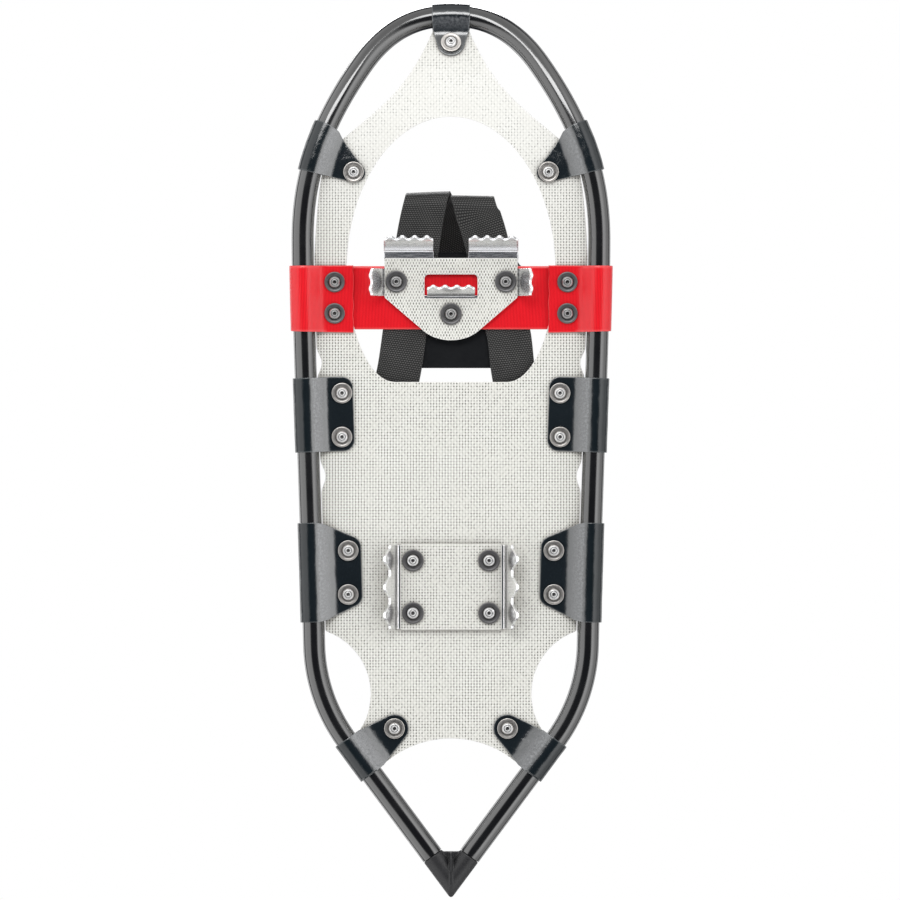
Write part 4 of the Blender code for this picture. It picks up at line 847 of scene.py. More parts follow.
def level(z, shift_y=0.0):
    def place(x, y):
        points = np.stack([x, y + shift_y, np.full(np.shape(x), z)], -1)
        return points, np.tile((0.0, 0.0, 1.0), (len(points), 1))
    return place


def centreline():
    """Right half of the tube's axis from apex to tail, on the flat deck."""
    ahead = np.array((math.cos(SHOULDER_ANGLE), -math.sin(SHOULDER_ANGLE)))
    shoulder = np.array(SHOULDER)
    points = [(0.0, APEX_Y)]
    points += bezier(points[0], (8.8, APEX_Y), shoulder - 44 * ahead, SHOULDER, 40)
    points += bezier(SHOULDER, shoulder + 62 * ahead, (WIDEST[0], WIDEST[1] + 38), WIDEST, 40)
    points += bezier(WIDEST, (WIDEST[0], WIDEST[1] - 60), (WAIST[0] + 2.2, WAIST[1] + 100),
                     WAIST, 50)
    before = unit((CORNER[0] - WAIST[0], CORNER[1] - WAIST[1]))
    turn = math.acos(float(before @ unit((-TAIL_SLOPE, -1))))
    start = np.array(CORNER) - before * CORNER_RADIUS * math.tan(turn / 2)
    inward = unit(np.array((-1.0, 0.0)) - before * float(np.array((-1.0, 0.0)) @ before))
    centre = start + inward * CORNER_RADIUS
    for k in range(31):
        angle = turn * k / 30
        points.append(tuple(centre - inward * CORNER_RADIUS * math.cos(angle)
                            + before * CORNER_RADIUS * math.sin(angle)))
    last = np.array(points[-1])
    points += [tuple(last + (np.array(TAIL_END) - last) * k / 12) for k in range(1, 13)]
    return [flat(p) for p in points]


LINE = np.array(centreline())
RUN, TANGENTS = measure(LINE)
TANGENTS[0] = (1.0, 0.0)
INWARD = np.stack([TANGENTS[:, 1], -TANGENTS[:, 0]], 1)


def frame_at(run, side):
    """Centreline points and inward directions at lengths from the apex, on side +1 or -1."""
    run = np.asarray(run, float)
    mirror = np.stack([np.where(run < 0, -side, side), np.ones(run.shape)], -1)
    run = np.abs(run)
    return lookup(run, RUN, LINE) * mirror, unit_rows(lookup(run, RUN, INWARD) * mirror)


def run_near(x, y):
    """Length from the apex to the centreline's point nearest to x, y."""
    lengths = np.diff(RUN)
    ways = np.diff(LINE, axis=0) / lengths[:, None]
    past = np.clip(((np.array((x, y)) - LINE[:-1]) * ways).sum(1), 0, lengths)
    closest = LINE[:-1] + ways * past[:, None]
    i = int(np.hypot(x - closest[:, 0], y - closest[:, 1]).argmin())
    return float(RUN[i] + past[i])


def locate(x, y):
    """Length from the apex and distance inward of a place beside the tube."""
    run = run_near(x, y)
    for _ in range(40):
        point, inward = frame_at(run, 1)
        gap = np.array((x, y)) - point
        distance = float(gap @ inward)
        run += 0.6 * float(gap @ np.array((-inward[1], inward[0])))
    return run, distance


# ================================================================ frame tube
def make_tube():
    stations = np.concatenate([-RUN[::-1], RUN[1:]])
    centres, inward = frame_at(stations, 1)
    angles = around(TUBE_SIDES, 0.5)
    points, sheet = [], []
    for radius in (TUBE_RADIUS, TUBE_RADIUS - TUBE_WALL):
        reach = radius * np.cos(angles)
        for run, centre, way in zip(stations, centres, inward):
            points.append(bend(centre[0] + way[0] * reach, centre[1] + way[1] * reach,
                               radius * np.sin(angles)))
            sheet.append(np.stack([np.full(TUBE_SIDES, run), angles * TUBE_RADIUS], 1))
    count = len(stations)
    outer, inner = ([f for a in range(first, first + count - 1)
                     for f in band(a * TUBE_SIDES, (a + 1) * TUBE_SIDES, TUBE_SIDES)]
                    for first in (0, count))
    start, end = (band(a * TUBE_SIDES, (count + a) * TUBE_SIDES, TUBE_SIDES)
                  for a in (0, count - 1))
    tube = add_mesh("frame_tube_fine", np.concatenate(points),
                    outer + flipped(inner) + flipped(start) + end, BLACK,
                    np.concatenate(sheet), weighted=True)
    stand(tube, "frame", "tube_finish", "frame_tube")


make_tube()

# ================================================================ tail cap
TAIL_WAY = unit((-TAIL_SLOPE, -1))
TAIL_INWARD = np.array((TAIL_WAY[1], -TAIL_WAY[0]))
SPIGOT_RADIUS = TUBE_RADIUS - TUBE_WALL - 0.35


def cap_ring(run, radius):
    """A ring about the right leg, run past its end; with no run, cut at the centre plane."""
    angles = around(48, 0.5)
    points = np.array(TAIL_END) + TAIL_INWARD * (radius * np.cos(angles))[:, None]
    if run is None:
        run = (points[:, 0] / -TAIL_WAY[0])[:, None]
    points = points + TAIL_WAY * run
    return np.c_[points, DECK_Z + radius * np.sin(angles)]


def cap_body():
    half = [cap_ring(run, radius) for run, radius in
            ((-14.0, SPIGOT_RADIUS - 0.5), (-12.5, SPIGOT_RADIUS), (GAP, SPIGOT_RADIUS),
             (GAP, TUBE_RADIUS - 0.5), (GAP + 0.5, TUBE_RADIUS))]
    apex, mirror = cap_ring(None, TUBE_RADIUS), np.array((-1, 1, 1))
    start = apex - np.array((*TAIL_WAY, 0.0)) * 3.4        # the legs meet in a rounded tip
    for k in range(7):
        s = k / 12
        half.append((1 - s) ** 2 * start + 2 * s * (1 - s) * apex + s * s * start * mirror)
    return half + [ring * mirror for ring in half[:-1]][::-1]


def make_tail_cap():
    # x, y of the web between the legs, and y, z over the deck of the rib behind it
    web = np.array([(-7.5, -288.9), (7.5, -288.9), (7.5, -297.0), (0.0, -306.0),
                    (-7.5, -297.0)])
    rib = np.array([(-289.6, 2.0), (-289.6, -4.5), (-294.0, -8.6), (-313.0, -8.6),
                    (-316.0, -6.5), (-316.0, 2.0)])
    parts = [cap_body(),
             [np.c_[web, np.full(len(web), z)] for z in (DECK_Z - 3.0, DECK_Z + 3.0)],
             [np.c_[np.full(len(rib), x), rib[:, 0], DECK_Z + rib[:, 1]] for x in (-1.0, 1.0)]]
    points, faces = np.zeros((0, 3)), []
    for part in parts:
        part_points, part_faces = loft(part)
        faces += [tuple(len(points) + i for i in f) for f in outward(part_points, part_faces)]
        points = np.concatenate([points, part_points])
    cap = add_mesh("tail_cap_fine", points, faces, CAP)
    fuse = cap.modifiers.new("fuse", "REMESH")
    fuse.mode, fuse.voxel_size, fuse.use_smooth_shade = "VOXEL", 0.00042, True
    soften = cap.modifiers.new("soften", "SMOOTH")
    soften.factor, soften.iterations = 0.5, 5
    stand(cap, "frame", "cap_plastic", "tail_cap")


make_tail_cap()

# ================================================================ deck
TUBE_TO_DECK = TUBE_RADIUS + 0.45


def deck_inset(run):
    """Distance from the tube's axis to the deck's edge, with shallow scallops."""
    y = float(frame_at(run, 1)[0][1])
    inset = TUBE_TO_DECK
    for middle, half_width in ((62.5, 12.0), (-19.0, 13.0)):
        share = abs(y - middle) / half_width
        if share < 1:
            inset += 3.4 * math.cos(share * math.pi / 2) ** 2
    if 140 < y < 200:
        inset += 1.2 * math.sin((y - 140) / 60 * math.pi)
    return inset


def beside_tube(start, end, count, inset):
    out = []
    for run in np.linspace(start, end, count):
        point, inward = frame_at(run, 1)
        out.append(tuple(point + inward * inset(run)))
    return out


def deck_outline():
    right = [(6.0, 305.5), (12.5, 304.0)]
    right += bezier((12.5, 304.0), (19.0, 289.0), (26.5, 272.0), (45.0, 252.7), 30)
    right += bezier((45.0, 252.7), (58.0, 240.0), (72.0, 229.0), (81.0, 221.3), 16)
    right = [flat(p) for p in right]
    right += beside_tube(run_near(*flat((98.0, 207.0))), run_near(98.6, -130.0), 170,
                         deck_inset)
    x, y = 105.5, -175.6                             # centre of the bay beside the tail
    first = math.atan2(-130.3 - y, 90.7 - x)
    last = math.atan2(-202.5 - y, 66.2 - x) + 2 * math.pi
    right += arc(x, y, 47.6, first, last, 48)[1:-1]
    right += beside_tube(run_near(66.2, -202.5), run_near(50.0, -227.0), 8,
                         lambda run: TUBE_TO_DECK)
    y, radius = -280.4, 72.7                         # the rear edge's arc
    right += arc(0.0, y, radius, math.atan2(-227.5 - y, 49.8), math.pi / 2, 40)[:-1]
    return right + [(0.0, y + radius)] + mirrored(right)


def toe_hole():
    quarter = [math.pi / 2 * k / 60 for k in range(61)]
    front = [(HOLE_HALF * math.cos(a), unroll(HOLE_Y + HOLE_FRONT * math.sin(a)))
             for a in quarter]
    back = bezier((HOLE_HALF, HOLE_Y), (HOLE_HALF, HOLE_Y - 34), (62.0, HOLE_BACK),
                  (40.0, HOLE_BACK), 50)
    back += [(40.0 - 2.0 * k, HOLE_BACK) for k in range(1, 21)]
    right = front[::-1] + back
    return right + mirrored(right[1:-1])


def weave_relief(staggered, seed):
    """Yarn heights at half the pitch: pinholes sink, one yarn crosses over the next."""
    chances = np.random.default_rng(seed).random((512, 512))

    def relief(x, y, side):
        i = np.rint(x / (WEAVE / 2)).astype(int)
        j = np.rint(y / (WEAVE / 2)).astype(int)
        column = i + ((np.floor_divide(j + 1, 2) % 2) if staggered else 0)
        even_x, even_y = column % 2 == 0, j % 2 == 0
        chance = chances[i % 512, j % 512]
        over = ((np.floor_divide(column, 2) + np.floor_divide(j, 2)) % 2 == 0) == (side > 0)
        height = np.where(even_x & even_y, -0.30 - 0.10 * chance, 0.0)
        height = np.where(~even_x & ~even_y, np.where(over, -0.01, -0.07) - 0.03 * chance,
                          height)
        height = np.where(even_x & ~even_y, -0.15 - 0.03 * chance, height)
        return np.where(~even_x & even_y, -0.10 - 0.03 * chance, height)
    return relief


def cloth_piece(name, outline, holes, place, thick, staggered, seed):
    return woven(name, outline, holes, place, thick, PATCH if staggered else DECK, WEAVE / 2,
                 WEAVE / 2, weave_relief(staggered, seed), inset=0.30)


deck_holes = [toe_hole(), circle(*flat(TOE_RIVET), SHANK_HOLE)]
for x, y in sum(TAB_RIVETS.values(), []) + PIVOT_RIVETS + HEEL_RIVETS:
    deck_holes += [circle(side * x, unroll(y), SHANK_HOLE) for side in (1, -1)]
deck = cloth_piece("deck_cloth", deck_outline(), deck_holes, on_deck, DECK_THICK,
                   staggered=False, seed=3)
stand(deck, "frame", "deck_fabric", "deck")


# ================================================================ wraps round the tube
class Wrap:
    """Section of a strip folded round the tube, with a soft crease where it meets the deck.

    Section points are (distance inward from the tube's axis, height over the deck).
    """

    def __init__(self, thick, reach):
        radius = TUBE_RADIUS + 0.35 + thick / 2
        height = DECK_THICK / 2 + GAP + thick / 2
        angle = math.pi - (math.atan2(height, reach)
                           + math.acos(radius / math.hypot(reach, height)))
        steps = max(8, int(math.degrees(angle) / 3))
        upper = [(-radius * math.cos(angle * k / steps), radius * math.sin(angle * k / steps))
                 for k in range(steps + 1)]
        land = np.array((reach, height))
        slope = land - np.array(upper[-1])
        crease = min(3.2, 0.6 * float(np.linalg.norm(slope)))
        before, after = land - unit(slope) * crease, land + np.array((crease, 0.0))
        for k in range(13):
            s = k / 12
            upper.append(tuple((1 - s) ** 2 * before + 2 * s * (1 - s) * land
                               + s * s * after))
        upper = np.array(upper + [(100.0, height)])
        self.points = np.concatenate([upper[::-1] * (1, -1), upper[1:]])
        run, tangents = measure(self.points)
        self.run = run - run[-1] / 2
        self.normals = np.stack([-tangents[:, 1], tangents[:, 0]], 1)
        self.upper_reach, self.upper_run = upper[:, 0], self.run[len(upper) - 1:]

    def run_at(self, reach):
        return float(np.interp(reach, self.upper_reach, self.upper_run))

    def section(self, run):
        """Reach and height of points round the section, and of their normals."""
        return lookup(run, self.run, self.points).T, lookup(run, self.run, self.normals).T

    def place(self, start, side):
        def at(x, y):
            point, normal = self.section(x)
            centre, inward = frame_at(start - y, side)
            low = centre + inward * point[0][:, None]
            high = centre + inward * (point[0] + normal[0] * 0.01)[:, None]
            base = bend(low[:, 0], low[:, 1], point[1])
            tip = bend(high[:, 0], high[:, 1], point[1] + normal[1] * 0.01)
            return base, unit_rows(tip - base)
        return at


def cloth_relief(seed):
    """Slow unevenness of a coated sheet pulled over the tube; it only ever sinks."""
    rng = np.random.default_rng(seed)
    waves = [(rng.uniform(0.08, 0.42), rng.uniform(-0.5, 0.5), rng.uniform(0, 6.28))
             for _ in range(6)]

    def relief(x, y, side):
        height = sum(np.sin(a * x * side + b * y + c) for a, b, c in waves) / len(waves)
        return -0.26 * (0.5 + 0.5 * height)
    return relief


def make_tab(name, half_flap, wrap, spots, seed, place):
    """A tab from half its outline and its rivets, both as (distance inward, along tube)."""
    upper = [(wrap.run_at(reach), y) for reach, y in half_flap]
    holes = [circle(sign * wrap.run_at(reach), y, SHANK_HOLE)
             for reach, y in spots for sign in (1, -1)]
    tab = woven(name + "_cloth", upper + mirrored(upper), holes, place, TAB_THICK, COATED,
                0.8, 0.8, cloth_relief(seed), inset=0.40)
    stand(tab, "frame", "coated_tab", name)


def nose(reach, y, radius, first, last):
    return arc(reach, y, radius, math.radians(first), math.radians(last))


toe_wrap = Wrap(TAB_THICK, 14.4)


def toe_tab_place(x, y):
    point, normal = toe_wrap.section(x)
    bow = np.interp(np.abs(y), LINE[:14, 0], LINE[:14, 1])
    flatten = np.clip((point[0] - 3.0) / 11.0, 0, 1)
    axis_y = bow * (1 - flatten) + LINE[0][1] * flatten
    base = bend(y, axis_y - point[0], point[1])
    tip = bend(y, axis_y - point[0] - normal[0] * 0.01, point[1] + normal[1] * 0.01)
    return base, unit_rows(tip - base)


toe_reach = unroll(APEX_Y) - unroll(TOE_RIVET[1])
make_tab("toe_tab", [(4.5, 13.7), (13.0, 12.9)] + nose(toe_reach, 0, 10.0, 68, -68)
         + [(13.0, -12.9), (4.5, -13.7)], toe_wrap, [(toe_reach, 0.0)], 11, toe_tab_place)

FRONT_SHIFT, TAIL_SHIFT = -8.8, 1.0      # from the rivet to the tab's middle, along the tube
front_run, front_reach = locate(*flat(TAB_RIVETS["front"][0]))
tail_run, tail_reach = locate(*TAB_RIVETS["tail"][0])
# name, wrap, length from the apex to the tab's middle, half outline
SIDE_TABS = [
    ("front", Wrap(TAB_THICK, 15.6), front_run + FRONT_SHIFT,
     [(4.5, 17.9), (10.0, 16.8)] + nose(front_reach, FRONT_SHIFT, 8.7, 52, -86)
     + [(18.0, -17.6), (6.0, -17.9)]),
    ("mid", Wrap(TAB_THICK, 15.2), run_near(101.8, 25.2),
     round_corners([(4.5, 26.8), (33.6, 26.8), (33.6, -26.8), (4.5, -26.8)], [0, 8, 8, 0])),
    ("rear", Wrap(TAB_THICK, 17.2), run_near(99.4, -88.2),
     round_corners([(4.5, 35.8), (10.0, 34.5), (35.6, 22.4), (35.6, -22.4), (10.0, -34.5),
                    (4.5, -35.8)], [0, 0, 8, 8, 0, 0])),
    ("tail", Wrap(TAB_THICK, 20.0), tail_run + TAIL_SHIFT,
     [(4.5, 15.6), (11.0, 15.4)] + nose(tail_reach, TAIL_SHIFT, 10.1, 74, -74)
     + [(11.0, -15.4), (4.5, -15.6)])]
for side, word in SIDES:
    for k, (kind, wrap, start, flap) in enumerate(SIDE_TABS):
        spots = [(reach, start - run) for run, reach in
                 (locate(*flat(p)) for p in TAB_RIVETS[kind])]
        make_tab(f"{kind}_tab_{word}", flap, wrap, spots, (20 if side > 0 else 40) + k,
                 wrap.place(start, side))

# ================================================================ red pivot strap
JOIN_X = 20.0            # the strap's lengths meet here, out of sight under the crampon
STRAP_HALF = STRAP_WIDTH / 2
strap_wrap = Wrap(STRAP_THICK, 13.6)


def rib_relief(x, y, side):
    return -0.09 * (0.5 - 0.5 * np.cos(2 * math.pi * x / RIB))


def tube_x(y):
    """X of the right tube's axis beside the strap, y from the pivot line."""
    ahead = LINE[:, 1] > -130
    return np.interp(PIVOT_Y + np.asarray(y, float), LINE[ahead, 1][::-1],
                     LINE[ahead, 0][::-1])


def strap_run(x, y):
    return strap_wrap.run_at(float(tube_x(y)) - x)


def red_piece(name, outline, holes, place):
    return woven(name, outline, holes, place, STRAP_THICK, RED, RIB / 3, 1.6, rib_relief,
                 inset=0.32)


def make_side_strap(side, word):
    def place(x, y):
        point, normal = strap_wrap.section(x)
        points = np.stack([side * (tube_x(y) - point[0]), PIVOT_Y + y, DECK_Z + point[1]], -1)
        normals = np.stack([-side * normal[0], np.zeros(len(x)), normal[1]], -1)
        return points, unit_rows(normals)

    half = STRAP_HALF
    long_end = [(strap_run(JOIN_X + 0.1, y), y) for y in np.linspace(half, -half, 13)]
    ragged = [0.25 * math.sin(2.9 * y) + 0.18 * math.sin(7.7 * y + side)
              for y in np.linspace(half, -half, 13)]
    foot = strap_wrap.run_at(4.0)
    short_end = [(strap_wrap.run_at(14.5), -half), (foot, -half - 0.8), (-foot, -half - 1.8)]
    short_end += [(-strap_run(70.2 + fray, y), y)
                  for y, fray in zip(np.linspace(-half - 2.4, half + 0.6, 13), ragged)]
    short_end += [(-foot, half + 0.4)]
    spots = [(sign, x, y) for x, y in PIVOT_RIVETS for sign in (1, -1)]
    spots.append((1, *TOE_CRAMPON_RIVETS[0]))
    holes = [circle(sign * strap_run(x, y - PIVOT_Y), y - PIVOT_Y, SHANK_HOLE)
             for sign, x, y in spots]
    strap = red_piece(f"pivot_strap_{word}_webbing", long_end + short_end, holes, place)
    bridge(strap,
           f"pivot_strap_{word}")


for side, word in SIDES:
    make_side_strap(side, word)

crampon_holes = [circle(x, y - PIVOT_Y, SHANK_HOLE) for x, y in TOE_CRAMPON_RIVETS]
join = JOIN_X - 0.1
centre_strap = red_piece(
    "pivot_strap_centre_webbing",
    [(-join, -STRAP_HALF), (join, -STRAP_HALF), (join, STRAP_HALF), (-join, STRAP_HALF)],
    [crampon_holes[2]], level(PIVOT_Z, PIVOT_Y))
stand(centre_strap, "binding", "red_strap", "pivot_strap_centre")


# ================================================================ crampons
def fold(past, radius, angle):
    """How far out and down a strip gets, and its slope, at a length past a fold's start."""
    past = np.asarray(past, float)
    slope = np.clip(past / radius, 0, angle)
    rest = np.maximum(0, past - radius * angle)
    return (np.minimum(past, 0) + radius * np.sin(slope) + rest * np.cos(angle),
            radius * (1 - np.cos(slope)) + rest * np.sin(angle), slope)


def folded_plate(z, shift_y, fold_x, fold_y, ripple):
    """Placement of a plate whose sides turn down past +-fold_x, and front past fold_y."""
    def place(x, y):
        points, normals = level(z, shift_y)(x, y)
        front = y > fold_y if fold_y is not None else np.zeros(len(x), bool)
        side = (np.abs(x) > fold_x) & ~front
        if side.any():
            out, drop, slope = fold(np.abs(x[side]) - fold_x, FOLD_RADIUS, FOLD_ANGLE)
            sign = np.sign(x[side])
            points[side] = np.stack([sign * (fold_x + out), y[side] + shift_y, z - drop], -1)
            normals[side] = np.stack([sign * np.sin(slope), np.zeros(len(slope)),
                                      np.cos(slope)], -1)
        if front.any():
            out, drop, slope = fold(y[front] - fold_y, FOLD_RADIUS, FOLD_ANGLE)
            points[front] = np.stack([x[front], fold_y + out + shift_y, z - drop], -1)
            normals[front] = np.stack([np.zeros(len(slope)), np.sin(slope), np.cos(slope)],
                                      -1)
        return points + normals * ripple(x, y, side, front)[:, None], normals
    return place


def wave(start, end, base, depth, teeth):
    """A toothed edge: (place along it, reach) with 16 steps to a tooth."""
    count = teeth * 16
    return [(start + (end - start) * k / count,
             base + depth * (0.5 - 0.5 * math.cos(2 * math.pi * teeth * k / count)))
            for k in range(count + 1)]


FOLD_ARC = FOLD_RADIUS * FOLD_ANGLE


def flange_length(z):
    """Length past a fold's start that brings a plate's edge down to the ground."""
    drop = z - PLATE_THICK / 2 * math.cos(FOLD_ANGLE)
    return (FOLD_ARC + (drop - FOLD_RADIUS * (1 - math.cos(FOLD_ANGLE)))
            / math.sin(FOLD_ANGLE))


# ---- toe crampon, drawn flat with y from the pivot line
toe_side, toe_front = 47.0, 142.0 - PIVOT_Y          # where the flanges start to fold
toe_front_end = toe_front + flange_length(TOE_PLATE_Z)
toe_side_end = toe_side + flange_length(TOE_PLATE_Z)
WINDOW_HALF, WINDOW_FRONT, WINDOW_REAR = 19.0, 16.6, 1.6


def toe_crampon_outline():
    root, tip = toe_front_end - 4.2, toe_front_end - 3.2
    corner = [(48.4, toe_front - 5.0), (48.4, toe_front + 1.0), (48.4, root)]
    notch = [(12.6, root), (12.6, toe_front - 3.0), (11.9, toe_front - 4.5),
             (10.5, toe_front - 5.2)]
    right_teeth = [(x, y) for y, x in wave(1.6, 20.6, toe_side_end - 2.4, 2.4, 2)]
    left_teeth = [(-x, y) for y, x in wave(20.6, 1.6, toe_side_end - 2.4, 2.4, 2)]
    side_root = toe_side_end - 4.2
    out = corner + wave(48.0, 12.9, tip, 3.2, 4) + notch
    out += mirrored(notch) + wave(-12.9, -48.0, tip, 3.2, 4) + mirrored(corner)
    out += [(-toe_side - 0.4, 21.0), (-side_root, 21.0)] + left_teeth
    out += [(-side_root, 1.2), (-toe_side - 0.4, 1.2), (-toe_side, 0.0), (-21.0, -21.5)]
    out += bezier((-21.0, -21.5), (-9.5, -30.3), (9.5, -30.3), (21.0, -21.5), 24)
    out += [(toe_side, 0.0), (toe_side + 0.4, 1.2), (side_root, 1.2)] + right_teeth
    return out + [(side_root, 21.0), (toe_side + 0.4, 21.0)]


def flange_share(distance, start, end):
    """0 where a flange leaves its fold to 1 at its tip."""
    return np.clip((distance - start - FOLD_ARC) / (end - start - FOLD_ARC), 0, 1)


def toe_ripple(x, y, side, front):
    """Teeth are pressed as well as cut: each tooth swells outwards towards its tip."""
    share = flange_share(y, toe_front, toe_front_end) ** 2
    along = np.clip((np.abs(x) - 12.9) / 35.1, 0, 1)
    height = np.where(front, 0.62 * share * np.cos(2 * np.pi * 4 * along + np.pi), 0.0)
    share = flange_share(np.abs(x), toe_side, toe_side_end) ** 2
    along = np.clip((y - 1.6) / 19.0, 0, 1)
    return np.where(side, 0.12 * share * np.cos(2 * np.pi * 2 * along + np.pi), height)


def flange_cuts(start, end, count):
    return list(np.linspace(start + FOLD_ARC + 2.0, end - 0.8, count))


toe_window = [(-WINDOW_HALF, WINDOW_REAR), (-WINDOW_HALF, WINDOW_FRONT - 2.5),
              (-WINDOW_HALF + 0.75, WINDOW_FRONT - 0.75), (-WINDOW_HALF + 2.5, WINDOW_FRONT)]
toe_window += mirrored(toe_window)
arc_cuts = [FOLD_ARC * k / 8 for k in range(9)]
toe_crampon = plate(
    "toe_crampon_plate", refine(toe_crampon_outline(), 1.6),
    [refine(toe_window, 2.0)] + crampon_holes,
    folded_plate(TOE_PLATE_Z, PIVOT_Y, toe_side, toe_front, toe_ripple), PLATE_THICK, ALLOY,
    cuts_x=[s * (toe_side + c) for s in (1, -1) for c in arc_cuts[1:]]
    + [s * c for s in (1, -1) for c in flange_cuts(toe_side, toe_side_end, 9)],
    cuts_y=[toe_front + c for c in arc_cuts] + flange_cuts(toe_front, toe_front_end, 9))
stand(toe_crampon, "binding", "crampon_alloy", "toe_crampon")

# ---- toothed bar that turns down in the toe crampon's window
BAR_HALF, BAR_RADIUS, BAR_ANGLE = 17.2, 2.2, math.radians(66)
BAR_LENGTH = 2.6 + 14.0


def bar_place(x, y):
    out, drop, slope = fold(y, BAR_RADIUS, BAR_ANGLE)
    share = np.clip(y / BAR_LENGTH, 0, 1) ** 2
    normals = np.stack([np.zeros(len(x)), np.sin(slope), np.cos(slope)], -1)
    points = np.stack([x, PIVOT_Y + WINDOW_REAR - 1.2 + out, TOE_PLATE_Z - drop], -1)
    ripple = -0.35 * share * np.cos(2 * np.pi * 4 * (x + BAR_HALF) / (2 * BAR_HALF))
    return points + normals * ripple[:, None], normals


bar_outline = [(-BAR_HALF, -0.2), (-BAR_HALF, BAR_LENGTH - 4.0)] \
    + wave(-BAR_HALF + 0.3, BAR_HALF - 0.3, BAR_LENGTH - 3.0, 3.0, 4) \
    + [(BAR_HALF, BAR_LENGTH - 4.0), (BAR_HALF, -0.2)]
tooth_bar = plate("toe_crampon_tooth_bar", refine(bar_outline[::-1], 1.6), [], bar_place,
                  PLATE_THICK - 0.06, ALLOY,
                  cuts_y=[BAR_RADIUS * BAR_ANGLE * k / 6 for k in range(7)]
                  + list(np.linspace(4.5, BAR_LENGTH - 0.8, 9)))
stand(tooth_bar, "binding", "crampon_alloy")

# ---- cloth patch under the toe crampon
patch_outline = [(47.9, 28.6), (47.9, 0.2), (21.5, -22.4)]
patch_outline += bezier((21.5, -22.4), (10.5, -33.4), (-10.5, -33.4), (-21.5, -22.4), 28)[:-1]
patch_outline += [(-21.5, -22.4), (-47.9, 0.2), (-47.9, 28.6)]
patch_window = round_corners([(-19.2, WINDOW_REAR - 1.9), (-19.2, WINDOW_FRONT + 0.2),
                              (19.2, WINDOW_FRONT + 0.2), (19.2, WINDOW_REAR - 1.9)],
                             [0, 2.6, 2.6, 0])
toe_patch = cloth_piece("toe_crampon_patch_cloth", patch_outline,
                        [patch_window] + crampon_holes, level(TOE_PATCH_Z, PIVOT_Y),
                        PATCH_THICK, staggered=True, seed=5)
stand(toe_patch, "binding", "deck_fabric", "toe_crampon_patch")

# ---- heel crampon, drawn flat with y from its middle
heel_middle, heel_half, heel_side = -98.6, 30.2, 37.2
heel_end = heel_side + flange_length(HEEL_PLATE_Z)
heel_teeth = wave(-heel_half, heel_half, heel_end - 9.0, 9.0, 3)
heel_outline = [(heel_side, heel_half), (-heel_side, heel_half)] \
    + [(-x, -y) for y, x in heel_teeth] \
    + [(-heel_side, -heel_half), (heel_side, -heel_half)] + [(x, y) for y, x in heel_teeth]
heel_holes = [circle(sign * x, y - heel_middle, SHANK_HOLE)
              for x, y in HEEL_RIVETS for sign in (1, -1)]


def heel_ripple(x, y, side, front):
    share = flange_share(np.abs(x), heel_side, heel_end)
    phase = 2 * np.pi * 3 * (y + heel_half) / (2 * heel_half)
    return np.where(side, -0.28 * share * share * np.cos(phase), 0.0)


# the heel crampon wears the alloy painted lighter, as a painted reflection
heel_crampon = plate(
    "heel_crampon_plate", refine(heel_outline, 1.6), heel_holes,
    folded_plate(HEEL_PLATE_Z, heel_middle, heel_side, None, heel_ripple), PLATE_THICK,
    ALLOY_PAINTED_LIGHTER, cuts_x=[s * (heel_side + c) for s in (1, -1) for c in arc_cuts]
    + [s * c for s in (1, -1) for c in flange_cuts(heel_side, heel_end, 10)])
stand(heel_crampon, "frame", "crampon_alloy", "heel_crampon")
heel_patch = cloth_piece(
    "heel_crampon_patch_cloth",
    round_corners([(36.6, 30.9), (-36.6, 30.9), (-36.6, -30.7), (36.6, -30.7)], 1.5),
    heel_holes, level(HEEL_PATCH_Z, heel_middle), PATCH_THICK, staggered=False, seed=7)
stand(heel_patch, "frame", "deck_fabric", "heel_crampon_patch")

# ================================================================ footbed
foot_middle, foot_half = (FOOT_LEFT + FOOT_RIGHT) / 2, (FOOT_RIGHT - FOOT_LEFT) / 2
WING_RADIUS, WING_FOLD, WING_HALF = 6.0, math.pi / 2 + WING_LEAN, 19.0
BUCKLE_UP = 32.5                                     # buckle's height up its wing
wing_start = foot_half - FOOTBED_THICK / 2 - WING_RADIUS
wing_arc = WING_RADIUS * WING_FOLD
foot_front, foot_rear = 142.5 - PIVOT_Y, 59.0 - PIVOT_Y
foot_holes = [circle(x - foot_middle, y - PIVOT_Y, SHANK_HOLE) for x, y in TOE_CRAMPON_RIVETS]
foot_holes += [circle(s * (wing_start + wing_arc + BUCKLE_UP), 0.0, 2.1) for s in (1, -1)]


def foot_place(x, y):
    points, normals = level(FOOTBED_Z, PIVOT_Y)(x + foot_middle, y)
    turned = (np.abs(x) > wing_start) & (np.abs(y) <= WING_HALF + 0.05)
    out, rise, slope = fold(np.abs(x[turned]) - wing_start, WING_RADIUS, WING_FOLD)
    sign = np.sign(x[turned])
    points[turned] = np.stack([foot_middle + sign * (wing_start + out), y[turned] + PIVOT_Y,
                               FOOTBED_Z + rise], -1)
    normals[turned] = np.stack([-sign * np.sin(slope), np.zeros(len(slope)), np.cos(slope)],
                               -1)
    return points, normals


def tread(x, y, side):
    """Shallow grip grooves on the upper face, kept clear of rivets and edges."""
    if side < 0:
        return np.zeros(len(x))

    def beyond(distance):
        return np.clip(distance / 1.5, 0, 1)
    groove = np.clip(1.0 - np.abs((y + 2.3) % 5.0 - 2.5) / 0.9, 0, 1)
    clear = beyond(wing_start - 5.0 - np.abs(x)) * beyond(foot_front - 5.0 - y) \
        * beyond(y - foot_rear - 5.0)
    for rivet_x, rivet_y in TOE_CRAMPON_RIVETS:
        clear = clear * beyond(np.hypot(x - rivet_x + foot_middle, y - rivet_y + PIVOT_Y) - 8.0)
    return -0.55 * groove * clear


